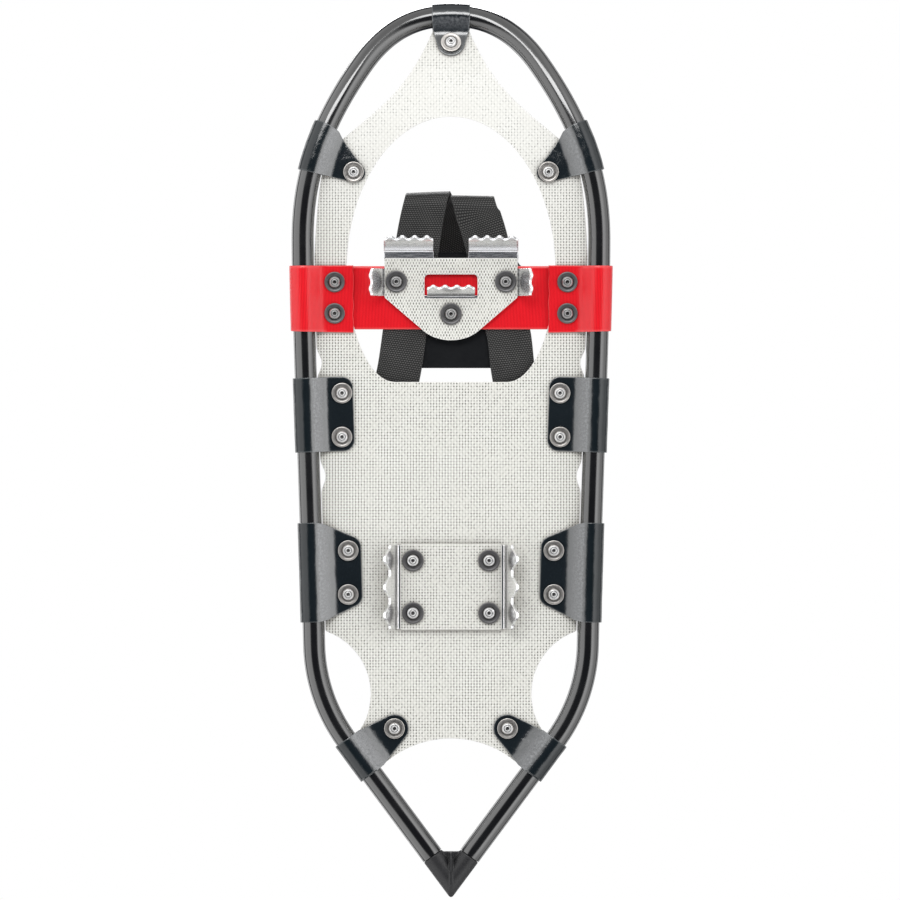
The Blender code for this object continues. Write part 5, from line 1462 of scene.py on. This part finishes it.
wing_end = wing_start + (wing_arc + 43.0)
foot_outline = round_corners(
    [(wing_start, foot_front), (-wing_start + 17.0, foot_front),
     (-wing_start, WING_HALF + 1.5), (-wing_start, WING_HALF), (-wing_end, WING_HALF),
     (-wing_end, -WING_HALF), (-wing_start, -WING_HALF), (-wing_start, foot_rear),
     (wing_start, foot_rear), (wing_start, -WING_HALF), (wing_end, -WING_HALF),
     (wing_end, WING_HALF), (wing_start, WING_HALF)],
    [8, 8, 0, 0, 8, 8, 0, 8, 8, 0, 8, 8, 0])
foot_rows = [(0.38, 1.42), (0.70, 1.25), (0.92, 1.0), (1.0, 0.6)]      # upper half of the rim
footbed = woven("footbed_moulding", foot_outline, foot_holes, foot_place, FOOTBED_THICK,
                FOOTBED, 0.9, 0.9, tread, inset=0.8,
                rows=foot_rows + [(share, -height) for share, height in foot_rows[::-1]])
stand(footbed, "binding", "footbed_plastic", "footbed")


# ================================================================ webbing
def ribbon(points, normals, level_count, across=None):
    """A strip through the points, spaced by length so it never overshoots a tight turn.

    The first level_count points lie level.  With across, the crosswise direction is held
    from the last of them through the next four, so the turn is a roll and not a twist.
    """
    points, normals = np.array(points, float), np.array(normals, float)
    lengths = np.linalg.norm(np.diff(points, axis=0), axis=1)

    def slopes(values):
        step = np.diff(values, axis=0) / lengths[:, None]
        inner = (step[:-1] * lengths[1:, None] + step[1:] * lengths[:-1, None]) \
            / (lengths[:-1] + lengths[1:])[:, None]
        out = np.concatenate([step[:1], inner, step[-1:]])
        out[:level_count, 2] = 0
        return out
    ways = slopes(points)
    widths = unit_rows(np.cross(normals, ways))
    if across is not None:
        widths[level_count - 1:level_count + 4] = across
    out = []
    for values, slope in ((points, ways), (widths, slopes(widths))):
        curve = []
        for i, length in enumerate(lengths):
            count = max(3, int(math.ceil(length / 0.8)))
            s = (np.arange(count + (i == len(lengths) - 1)) / count)[:, None]
            curve.append((2 * s ** 3 - 3 * s ** 2 + 1) * values[i]
                         + (s ** 3 - 2 * s ** 2 + s) * length * slope[i]
                         + (-2 * s ** 3 + 3 * s ** 2) * values[i + 1]
                         + (s ** 3 - s ** 2) * length * slope[i + 1])
        out.append(np.concatenate(curve))
    curve, widths = out[0], unit_rows(out[1])
    return curve, np.cross(np.gradient(curve, axis=0), widths), \
        None if across is None else widths


class Strip:
    """Webbing along a mid-line, with an outward normal at each point.

    Given widths are for a roll that is not square to the run.  floor is the height its
    middle can't sink below, where it lies on something.
    """

    def __init__(self, points, normals, widths=None, floor=None):
        self.points, self.floor = np.array(points, float), floor
        self.run, tangents = measure(self.points)
        if widths is None:
            normals = np.array(normals, float)
            self.normals = unit_rows(normals
                                     - tangents * (normals * tangents).sum(1)[:, None])
            self.widths = np.cross(self.normals, tangents)
        else:
            self.widths = np.array(widths, float)
            self.normals = unit_rows(np.cross(tangents, self.widths))

    def place(self, x, y):
        points = lookup(x, self.run, self.points) \
            + lookup(x, self.run, self.widths) * np.asarray(y)[:, None]
        if self.floor is not None:
            gap = points[:, 2] - self.floor
            soft = np.where(gap > 2.0, gap, 2.0 * np.exp(np.minimum(gap, 2.0) / 2.0 - 1.0))
            points[:, 2] = self.floor + soft
        return points, unit_rows(lookup(x, self.run, self.normals))


def pick_relief(x, y, side):
    """Cross ribs, flattened into a tighter edge cord at each selvedge."""
    rib = 0.5 + 0.5 * np.cos(2 * math.pi * x / PICK + math.pi * (1 if side > 0 else 0))
    edge = np.clip((np.abs(y) - (WEB_WIDTH / 2 - 2.4)) / 1.0, 0, 1)
    valley = np.exp(-((np.abs(y) - (WEB_WIDTH / 2 - 2.6)) / 0.55) ** 2)
    return -(0.13 * rib * (1 - 0.5 * edge) + 0.10 * valley)


def webbing(name, strip, start_y, holes=(), end_round=0.0):
    """A length of webbing cut square to the shoe at start_y."""
    length, half = strip.run[-1], WEB_WIDTH / 2
    way = unit(strip.points[1] - strip.points[0])
    first = [(start_y - strip.points[0][1] - y * strip.widths[0][1]) / way[1]
             for y in (-half, half)]
    outer = [(first[0], -half), (length, -half), (length, half), (first[1], half)]
    if end_round:
        outer = round_corners(outer, [0, end_round, end_round, 0])
    return woven(name, outer, holes, strip.place, WEB_THICK, NYLON, PICK / 4, WEB_WIDTH / 26,
                 pick_relief, inset=0.38)


def hole_on(strip, x, y):
    """A rivet's hole in the level part of a strip."""
    starts, ends = strip.points[:-1], strip.points[1:]
    flat_part = (np.abs(starts[:, 2] - WEB_Z) < 0.2) & (np.abs(ends[:, 2] - WEB_Z) < 0.2)
    spans = (ends - starts)[:, :2]
    share = np.clip(((np.array((x, y)) - starts[:, :2]) * spans).sum(1)
                    / (spans ** 2).sum(1), 0, 1)
    closest = starts[:, :2] + spans * share[:, None]
    distance = np.where(flat_part, np.hypot(x - closest[:, 0], y - closest[:, 1]), 1e9)
    i = int(distance.argmin())
    across = float((np.array((x, y)) - closest[i]) @ strip.widths[i][:2])
    return circle(strip.run[i] + share[i] * (strip.run[i + 1] - strip.run[i]), across,
                  SHANK_HOLE)


BUCKLE_TURN = math.radians(30)


def wing_frame(sign):
    """Centre, outward, lengthwise and crosswise directions of the buckle on a wing."""
    up = np.array((-sign * math.sin(WING_LEAN), 0, math.cos(WING_LEAN)))
    out = np.array((sign * math.cos(WING_LEAN), 0, math.sin(WING_LEAN)))
    reach, rise, _ = fold(wing_arc, WING_RADIUS, WING_FOLD)
    root = np.array((foot_middle + sign * (wing_start + float(reach)), PIVOT_Y,
                     FOOTBED_Z + float(rise)))
    centre = root + out * FOOTBED_THICK / 2 + up * BUCKLE_UP
    along = up * math.cos(BUCKLE_TURN) + np.array((0, 1, 0)) * math.sin(BUCKLE_TURN)
    return centre, out, along, np.cross(out, along)


# heights over a buckle's base
STRAP_OFF, PIN_OFF = 5.6, 10.5
CAM_RADIUS, PIN_RADIUS = 3.6, 1.5
JOIN_Y = 97.0            # harness and heel webbing meet here, between strap and footbed


def make_harness(word, wing, across_y, under, over, sunk, rivet):
    """A strap from under the footbed, forward, up and over the toe to the other side's buckle."""
    centre, out, along, _ = wing_frame(wing)
    points, normals = [(*p, WEB_Z) for p in under], [(0, 0, -1)] * len(under)
    for (x, y, z, normal), depth in zip(over, sunk):
        normal = unit(normal)
        points.append(tuple(np.array((x, y, z)) - normal * depth))
        normals.append(tuple(normal))
    for ahead in (15.0, 0.0, -21.0):
        points.append(tuple(centre + out * STRAP_OFF + along * ahead))
        normals.append(tuple(out))
    strip = Strip(*ribbon(points, normals, len(under), across=(1.0, across_y, 0.0)))
    strap = webbing(f"harness_{word}_webbing", strip, JOIN_Y + 0.15, [hole_on(strip, *rivet)],
                    end_round=9.0)
    stand(strap, "binding", "webbing", f"harness_strap_{word}")


# under: x, y at WEB_Z; over: x, y, z, normal; sunk: how far each is sunk along its normal
make_harness(
    "right", wing=-1, across_y=-0.04, rivet=TOE_CRAMPON_RIVETS[0],
    under=[(31.6, 97.3), (26.8, 130.0), (19.1, 176.0)],
    over=[(17.6, 181.8, 27.4, (0, .6, -.8)), (16.6, 184.9, 35.0, (0, 1, -.2)),
          (15.3, 183.4, 48.0, (0, 1, .1)), (11.5, 176.0, 64.0, (0, .85, .5)),
          (2.0, 164.5, 79.0, (0, .6, .8)), (-15.0, 149.5, 90.5, (0, .35, .93)),
          (-33.0, 133.0, 95.5, (-.30, .14, .93)), (-50.5, 116.5, 91.0, (-.80, .06, .6))],
    sunk=[0.0] * 8)
make_harness(
    "left", wing=1, across_y=0.02, rivet=TOE_CRAMPON_RIVETS[1],
    under=[(-37.9, 97.3), (-29.2, 130.0), (-25.0, 152.0), (-20.8, 166.0), (-17.6, 175.0)],
    over=[(-15.6, 181.8, 27.4, (0, .6, -.8)), (-15.2, 184.9, 35.0, (0, 1, -.2)),
          (-14.4, 183.4, 48.0, (0, 1, .1)), (-10.0, 176.0, 64.0, (0, .85, .5)),
          (-2.0, 164.5, 79.0, (0, .6, .8)), (10.5, 149.5, 90.5, (0, .35, .93)),
          (25.0, 133.0, 95.5, (.30, .14, .93)), (40.5, 119.0, 91.0, (.80, .06, .6))],
    sunk=[1.2, 2.4, 3.6, 5.0, 6.2, 6.4, 4.8, 1.0])

# ---- heel loop: point, normal, from the right of the footbed round the heel to the left
HEEL_LOOP = [
    ((31.6, 96.7, 25.0), (0, 0, -1)), ((33.1, 86.4, 25.0), (0, 0, -1)),
    ((37.0, 59.5, 25.0), (0, 0, -1)), ((39.0, 49.0, 25.0), (0, 0, -1)),
    ((40.4, 37.0, 26.2), (.12, 0, -1)), ((43.0, 19.0, 34.5), (.75, 0, -.66)),
    ((44.6, 0.0, 45.5), (1, 0, -.1)), ((43.6, -30.0, 57.0), (1, 0, 0)),
    ((40.8, -60.0, 65.0), (.98, -.2, 0)), ((34.0, -86.0, 71.0), (.8, -.6, 0)),
    ((19.0, -102.0, 74.5), (.45, -.9, 0)), ((0.0, -107.0, 75.5), (0, -1, 0)),
    ((-19.0, -102.5, 74.5), (-.45, -.9, 0)), ((-34.5, -88.0, 71.0), (-.8, -.6, 0)),
    ((-44.5, -66.0, 65.5), (-.97, -.25, 0)), ((-49.6, -44.0, 59.3), (-1, -.06, 0)),
    ((-51.2, -10.0, 49.7), (-1, -.04, 0)), ((-51.8, 8.0, 44.6), (-1, -.02, 0))]
WEB_FLOOR = DECK_Z + DECK_THICK / 2 + WEB_THICK / 2 + 0.1


def make_heel_web(name, strip, cad_node, end_round=0.0):
    web = webbing(name, strip, JOIN_Y - 0.15, end_round=end_round)
    bridge(web,
           cad_node)


make_heel_web("heel_loop_webbing",
              Strip(*ribbon(*zip(*HEEL_LOOP), 4), floor=WEB_FLOOR), "heel_strap",
              end_round=5.0)

# the heel buckle sits on the loop's straight left side
heel_from, heel_to = np.array(HEEL_LOOP[15][0]), np.array(HEEL_LOOP[16][0])
heel_along = unit(heel_to - heel_from)
heel_out = np.array((-1.0, -.05, 0.0))
heel_out = unit(heel_out - heel_along * float(heel_out @ heel_along))
heel_across = np.cross(heel_out, heel_along)
heel_centre = (heel_from + (heel_to - heel_from) * 0.42) - heel_out * STRAP_OFF


def at_heel(ahead, height):
    return heel_centre + heel_along * ahead + heel_out * height


# ---- heel anchor: up the left to the buckle, through its slot and folded back on itself
def anchor_strip():
    lead = [((-37.9, 96.7, 25.0), (0, 0, -1)), ((-40.9, 86.4, 25.0), (0, 0, -1)),
            ((-44.4, 59.5, 25.0), (0, 0, -1)), ((-45.9, 49.0, 25.0), (0, 0, -1)),
            ((-45.6, 37.0, 26.2), (-.12, 0, -1)), ((-45.2, 21.0, 33.0), (-.7, 0, -.7)),
            (at_heel(48, -0.9), tuple(heel_out)), (at_heel(44, -0.9), tuple(heel_out))]
    points, normals = (list(rows) for rows in ribbon(*zip(*lead), 4)[:2])
    points += [at_heel(ahead, -0.9) for ahead in (40.0, 30.0, 18.5)]
    normals += [heel_out] * 3
    for k in range(1, 12):
        angle = math.radians(-90 - 15 * k)
        points.append(at_heel(18.5 + 1.95 * math.cos(angle), 1.05 + 1.95 * math.sin(angle)))
        normals.append(-heel_along * math.cos(angle) - heel_out * math.sin(angle))
    points += [at_heel(*p) for p in
               ((18.5, 3.0), (22.5, 3.0), (24.5, 2.1), (26.5, 1.15), (42.0, 1.15))]
    normals += [-heel_out] * 5
    return Strip(points, normals, floor=WEB_FLOOR)


make_heel_web("heel_anchor_webbing", anchor_strip(), "heel_strap_anchor")


# ---- stitching that closes the fold: a box with a cross, every stitch a raised thread
def stitch(start, end, first):
    """Rings and faces of one thread that lies on the cloth and dips at both ends."""
    side = np.cross(heel_out, unit(end - start))
    points, faces = [], []
    for k in range(7):
        s = k / 6
        swell = math.sin(math.pi * s)
        centre = start + (end - start) * s + heel_out * (0.26 * swell - 0.10)
        points.append(hoop(centre, side, heel_out, 0.32 * (0.55 + 0.45 * swell), 8))
    for k in range(6):
        faces += band(first + k * 8, first + (k + 1) * 8, 8)
    faces.append(tuple(first + m for m in range(8))[::-1])
    faces.append(tuple(first + 48 + m for m in range(8)))
    return points, faces


def make_stitching():
    height = 1.15 + WEB_THICK / 2 + 0.02
    corners = [[at_heel(ahead, height) + heel_across * across for across in (-12.5, 12.5)]
               for ahead in (29.5, 39.5)]
    (low_left, low_right), (high_left, high_right) = corners
    rings, faces = [], []
    for start, end in ((low_left, low_right), (low_right, high_right),
                       (high_right, high_left), (high_left, low_left),
                       (low_left, high_right), (low_right, high_left)):
        span = end - start
        count = max(2, int(np.linalg.norm(span) / 3.0))
        for k in range(count):
            more, more_faces = stitch(start + span * (k + 0.12) / count,
                                      start + span * (k + 0.88) / count, 8 * len(rings))
            rings += more
            faces += more_faces
    stitching = add_mesh("heel_anchor_stitching", np.concatenate(rings), faces, THREAD)
    stand(stitching, "heel_loop", "webbing")


make_stitching()


# ================================================================ cam buckles
def buckle_frame(prefix, spot, base_front, rivet_hole, slot, body):
    """A base plate with two cheeks turned up to hold the pin."""
    centre, out, along, across = spot
    half, radius, lift = 17.0, 1.5, 1.05
    bend_arc = radius * math.pi / 2
    cheek = half + (bend_arc + 11.2)

    def place(x, y):
        past, rise, slope = (np.where(np.abs(x) <= half, 0, value)
                             for value in fold(np.abs(x) - half, radius, math.pi / 2))
        sign = np.where(x > 0, 1.0, -1.0)
        base_x = np.where(np.abs(x) <= half, x, sign * (half + past))
        points = (centre + base_x[:, None] * across + y[:, None] * along
                  + (lift + rise)[:, None] * out)
        return points, (np.cos(slope)[:, None] * out
                        - (sign * np.sin(slope))[:, None] * across)

    outline = round_corners(
        [(cheek, -8.0), (cheek, 8.0), (half, 10.0), (half, base_front), (-half, base_front),
         (-half, 10.0), (-cheek, 8.0), (-cheek, -8.0), (-half, -10.0), (-half, -12.0),
         (half, -12.0), (half, -10.0)],
        [5, 5, 0, 1.6, 1.6, 0, 5, 5, 0, 1.2, 1.2, 0])
    pin_x = half + bend_arc + (PIN_OFF - lift - radius)
    holes = [circle(s * pin_x, 0, PIN_RADIUS + GAP, 20) for s in (1, -1)]
    if rivet_hole:
        holes.append(circle(0, 0, 1.9, 16))
    if slot:
        rear, front = slot
        corners = [(-16.4, rear), (16.4, rear), (16.4, front), (-16.4, front)]
        holes.append(refine(round_corners(corners, 0.9, 4), 3.0))
    made = plate(prefix + "buckle_frame", refine(outline, 2.0), holes, place, 1.5, BUCKLE,
                 chamfer=0.35,
                 cuts_x=[s * (half + bend_arc * k / 6) for s in (1, -1) for k in range(7)])
    stand(made, body, "buckle_plastic", prefix + "buckle")


def lever_profile():
    """Side view from the pin: a toothed cam, then a lever with a curled, ribbed end."""
    out = []
    for k in range(97):
        degrees = 90 + 240 * k / 96
        angle = math.radians(degrees)
        bite = 0.28 * (0.5 + 0.5 * math.cos(angle * 24)) if 180 < degrees < 320 else 0.0
        out.append(((CAM_RADIUS - bite) * math.cos(angle),
                    (CAM_RADIUS - bite) * math.sin(angle)))
    out += bezier((5.0, -1.4), (9.0, -0.6), (17.0, 0.9), (22.4, 2.5), 14)
    out += bezier((22.4, 2.5), (23.9, 3.0), (24.6, 4.1), (23.6, 4.8), 8)
    out += bezier((23.6, 4.8), (22.9, 5.2), (22.6, 5.2), (22.0, 5.0), 4)
    last = out[-1]
    for k in range(1, 40):
        s = k / 40
        x = last[0] + (5.0 - last[0]) * s
        rib = 0.0
        if 13.3 < x < 21.0:
            rib = 0.42 * max(0.0, math.cos((x - 18.5) * 2 * math.pi / 2.6))
        out.append((x, last[1] + (2.8 - last[1]) * (1 - (1 - s) ** 1.6) + rib * 0.9))
    return out + [(5.0, 2.8), (3.0, 3.15), (1.4, 3.45)]


def buckle_lever(prefix, spot, body):
    centre, out, along, across = spot

    def place(x, y):
        # narrows to a rounded finger end
        width = 1.0 - 0.50 * np.clip((x - 14.0) / 10.6, 0, 1) ** 2
        return (centre + x[:, None] * along + (PIN_OFF + y)[:, None] * out,
                width[:, None] * across)
    made = plate(prefix + "cam_lever", lever_profile(), [circle(0, 0, PIN_RADIUS + GAP)],
                 place, 30.0, BUCKLE, chamfer=0.22,
                 rows=[(0.6, 14.9), (1.0, 14.5), (1.0, -14.5), (0.6, -14.9)])
    stand(made, body, "buckle_plastic", prefix + "buckle_lever")


def make_buckle(prefix, spot, body, lever_body, base_front, rivet_hole=False, slot=None):
    centre, out, along, across = spot
    buckle_frame(prefix, spot, base_front, rivet_hole, slot, body)
    # place along the pin, radius
    ends = ((-20.3, 0.9), (-20.25, 1.25), (-20.0, PIN_RADIUS),
            (20.0, PIN_RADIUS), (20.25, 1.25), (20.3, 0.9))
    pin = add_mesh(prefix + "buckle_pin_steel", *loft(
        [hoop(centre + across * x + out * PIN_OFF, along, out, radius, 28)
         for x, radius in ends]), PIN, weighted=True)
    stand(pin, body, "rivet_steel", prefix + "buckle_pin")
    buckle_lever(prefix, spot, lever_body)


# radius, height over the buckle's base
BUCKLE_RIVET = ((3.7, -4.4), (4.1, -4.25), (4.2, -4.0), (4.2, -3.3), (1.6, -3.3), (1.6, 2.1),
                (3.4, 2.1), (3.4, 2.5), (3.1, 2.8), (2.4, 2.9))
for side, word in SIDES[::-1]:
    spot = wing_frame(side)
    centre, out, along, across = spot
    make_buckle(f"toe_{word}_", spot, "binding", f"toe_lever_{word}", 12.0, rivet_hole=True)
    rivet = add_mesh(f"toe_{word}_buckle_rivet_steel", *loft(
        [hoop(centre + out * height, across, along, radius, 32)
         for radius, height in BUCKLE_RIVET]), PIN, weighted=True)
    stand(rivet, "binding", "rivet_steel", f"toe_{word}_buckle_rivet")
make_buckle("heel_", (heel_centre, heel_out, heel_along, heel_across), "heel_loop",
            "heel_lever", 22.0, slot=(15.2, 18.0))


# ================================================================ rivets
def rivet_profile(low, high, rim, top):
    """From the mandrel hole in the lower dome, over the washer, up the shank, to the top.

    Rows are radius, height over the deck, 1 for head metal or 0 for washer metal, and painted
    shade for the crevices.
    """
    return [
        (0.30, low - 0.9, 1, 0.75), (1.00, low - 1.0, 1, 0.75), (1.15, low - 2.6, 1, 0.7),
        (1.25, low - 2.95, 1, 0.25), (1.55, low - 3.08, 1, 0.0), (1.95, low - 3.02, 1, 0.0),
        (2.15, low - 2.75, 1, 0.6), (2.45, low - 2.72, 1, 0.75), (2.65, low - 2.86, 1, 0.1),
        (3.2, low - 2.66, 1, 0.0), (3.7, low - 2.2, 1, 0.0), (4.05, low - 1.65, 1, 0.15),
        (4.22, low - 1.2, 1, 0.8), (4.5, low - 0.98, 0, 0.9), (4.9, low - 0.98, 0, 0.25),
        (rim - 1.9, low - 1.0, 0, 0.1), (rim - 1.45, low - 1.02, 0, 0.15),
        (rim - 1.15, low - 1.18, 0, 0.0), (rim - 0.55, low - 1.20, 0, 0.0),
        (rim - 0.20, low - 1.10, 0, 0.0), (rim, low - 0.85, 0, 0.2),
        (rim, low - 0.25, 0, 0.6), (rim - 0.15, low - 0.05, 0, 0.6), (rim - 0.4, low, 0, 0.6),
        (RIVET_SHANK, low, 1, 0.3), (RIVET_SHANK, high, 0, 0.3), (top - 0.3, high, 0, 0.6),
        (top, high + 0.25, 0, 0.4), (top, high + 0.75, 0, 0.0), (top - 0.3, high + 1.0, 0, 0.0),
        (4.05, high + 1.02, 1, 0.8), (3.95, high + 1.3, 1, 0.2), (3.6, high + 1.8, 1, 0.0),
        (2.9, high + 2.3, 1, 0.0), (1.9, high + 2.5, 1, 0.0), (0.8, high + 2.5, 1, 0.0)]


def make_rivet(name, x, y, low, high, washer_radius=WASHER_RADIUS, top_radius=6.6,
               body="frame", slot="rivet_steel", metals=(WASHER, HEAD)):
    profile = rivet_profile(low, high, washer_radius, top_radius)
    sides = 44
    angles = around(sides)
    points, faces = loft([bend(x + r * np.cos(angles), y + r * np.sin(angles), height)
                          for r, height, _, _ in profile])
    bands = [min(here[2], after[2]) for here, after in zip(profile, profile[1:])]
    # painted shade for the crevices, from the profile's last column
    crevice_shade = [row[3] for row in profile]
    made = add_mesh(name + "_steel", points, faces, metals, weighted=True,
                    edge=np.concatenate([np.repeat(crevice_shade, sides), [crevice_shade[0], crevice_shade[-1]]]),
                    face_material=np.repeat(bands + [bands[0], bands[-1]], sides))
    stand(made, body, slot, name)


def deck_rivet(name, x, y, thick, **look):
    """A rivet through the deck and a sheet of this thickness on both its faces."""
    reach = DECK_THICK / 2 + GAP + thick + GAP
    make_rivet(name, x, y, -reach, reach, **look)


deck_rivet("toe_rivet", *flat(TOE_RIVET), TAB_THICK)
for side, word in SIDES:
    for kind, places in TAB_RIVETS.items():
        for place, end in zip(places, ENDS):
            x, y = flat(place)
            suffix = f"_{end}" if len(places) > 1 else ""
            deck_rivet(f"{kind}_rivet_{word}{suffix}", x * side, y, TAB_THICK)
for side, word in SIDES:
    for (x, y), end in zip(PIVOT_RIVETS, ENDS):
        deck_rivet(f"pivot_rivet_{word}_{end}", x * side, y, STRAP_THICK, slot="dark_rivet",
                   metals=(DARK_WASHER, DARK_HEAD))
for side, word in SIDES:
    for (x, y), end in zip(HEEL_RIVETS, ENDS):
        make_rivet(f"heel_crampon_rivet_{word}_{end}", side * x, y,
                   HEEL_PATCH_Z - PATCH_THICK / 2 - DECK_Z - GAP, DECK_THICK / 2 + GAP,
                   CRAMPON_WASHER_RADIUS, slot="dark_rivet", metals=(DARK_WASHER, HEAD))
for (x, y), word in zip(TOE_CRAMPON_RIVETS, ("right", "left", "rear")):
    make_rivet(f"toe_crampon_rivet_{word}", x, y,
               TOE_PATCH_Z - PATCH_THICK / 2 - DECK_Z - GAP,
               FOOTBED_Z + FOOTBED_THICK / 2 - DECK_Z + GAP, CRAMPON_WASHER_RADIUS,
               top_radius=4.4, body="binding", slot="dark_rivet",
               metals=(DARK_WASHER, DARK_HEAD))


# ================================================================ studio
# The camera looks up from below.  While it is below the floor, the floor is clear and
# the light comes from below; above it, the floor shows and the same light comes from above.
def camera_above(tree):
    place = add_node(tree, "ShaderNodeVectorTransform", {0: (0.0, 0.0, 0.0)},
                     vector_type="POINT", convert_from="CAMERA", convert_to="WORLD")
    return place.parts()[2].math("GREATER_THAN", 0.0)


def make_world():
    world = bpy.data.worlds.new("studio")
    bpy.context.scene.world = world
    world.use_nodes = True
    tree = world.node_tree
    tree.nodes.clear()
    above = camera_above(tree)
    x, y, z = add_node(tree, "ShaderNodeTexCoord", output="Generated").parts()
    pole = z * above.scaled(2.0, plus=-1.0)          # 1 straight towards the camera's side
    level_length = (x * x + y * y).math("SQRT")
    sideways = abs(x) / level_length.math("MAXIMUM", 0.001)

    # a ring of light boxes, and two more behind the shoe at its sides
    ring = pole.ramp(over=(0.90, 0.74)) * pole.ramp(over=(-0.50, -0.18))
    behind = pole.ramp(over=(-0.52, -0.62)) * pole.ramp(over=(-0.97, -0.85))
    ring = ring.math("MAXIMUM", behind * sideways.ramp(over=(0.35, 0.85)))

    # the boxes on the left and at the tail are brightest near the camera
    one_side = (x + y * 0.6).ramp(over=(0.15, -0.35))
    near = pole.ramp(over=(0.0, 0.74), gives=(0.62, 1.45))
    boxes = sideways.ramp(over=(0.20, 0.85), gives=(0.95, 1.58)) \
        * one_side.scaled(near - 1.0, plus=1.0)
    overhead = above * pole.ramp(over=(0.6, 0.95), gives=(0.0, 0.7))
    strength = (boxes - 1.0).scaled(ring, plus=1.0) + overhead
    studio = ring.blend((0.034, 0.038, 0.048), (1.0, 1.0, 1.0))

    light = add_node(tree, "ShaderNodeBackground", {"Color": studio, "Strength": strength})
    seen = add_node(tree, "ShaderNodeBackground", {"Color": (1.0, 1.0, 1.0), "Strength": 1.0})
    camera_ray = add_node(tree, "ShaderNodeLightPath", output="Is Camera Ray")
    mix = add_node(tree, "ShaderNodeMixShader", {0: camera_ray, 1: light, 2: seen})
    feed(tree.nodes.new("ShaderNodeOutputWorld").inputs[0], mix)


def make_floor():
    finish = Finish("studio_floor", Base_Color=(0.86, 0.86, 0.86), Roughness=0.9)
    speck = finish.noise(scale=6.0, detail=2.0)
    finish.set(Base_Color=speck.blend((0.84, 0.84, 0.84), (0.88, 0.88, 0.88)))
    mix = add_node(finish.tree, "ShaderNodeMixShader", {
        0: camera_above(finish.tree),
        1: add_node(finish.tree, "ShaderNodeBsdfTransparent"),
        2: Field(finish.bsdf.outputs[0])})
    feed(finish.tree.nodes["Material Output"].inputs[0], mix)
    half, z = 20, -0.0015                            # metres
    mesh = bpy.data.meshes.new("studio_floor")
    mesh.from_pydata([(x * half, y * half, z) for x, y in
                      ((-1, -1), (1, -1), (1, 1), (-1, 1))], [], [(0, 1, 2, 3)])
    mesh.materials.append(finish.material)
    floor = bpy.data.objects.new("studio_floor", mesh)
    COLLECTION.objects.link(floor)


def make_light(name, z):
    """A key light off the toe, aimed at the shoe; metres and watts."""
    data = bpy.data.lights.new(name, "AREA")
    data.shape, data.size, data.size_y, data.energy = "RECTANGLE", 1.3, 0.7, 20.0
    light = bpy.data.objects.new(name, data)
    light.location = (0.25, 1.25, z)
    aim = Vector((0, 0, 0.02)) - light.location
    light.rotation_euler = aim.to_track_quat("-Z", "Y").to_euler()
    COLLECTION.objects.link(light)


def make_camera():
    """A distant camera under the shoe, looking up; metres."""
    distance, view_width, sensor = 10.0, 0.648, 36.0
    data = bpy.data.cameras.new("camera")
    data.sensor_width = sensor
    data.lens = sensor * distance / view_width
    data.clip_end = 100.0
    camera = bpy.data.objects.new("camera", data)
    camera.location = (0.00072, 0.0, DECK_Z * 0.001 - distance)
    camera.rotation_euler = (0.0, math.pi, 0.0)
    COLLECTION.objects.link(camera)
    bpy.context.scene.camera = camera
    bpy.context.scene.view_settings.view_transform = "Standard"


make_world()
make_floor()
make_light("key_below", -1.9)
make_light("key_above", 1.9)
make_camera()
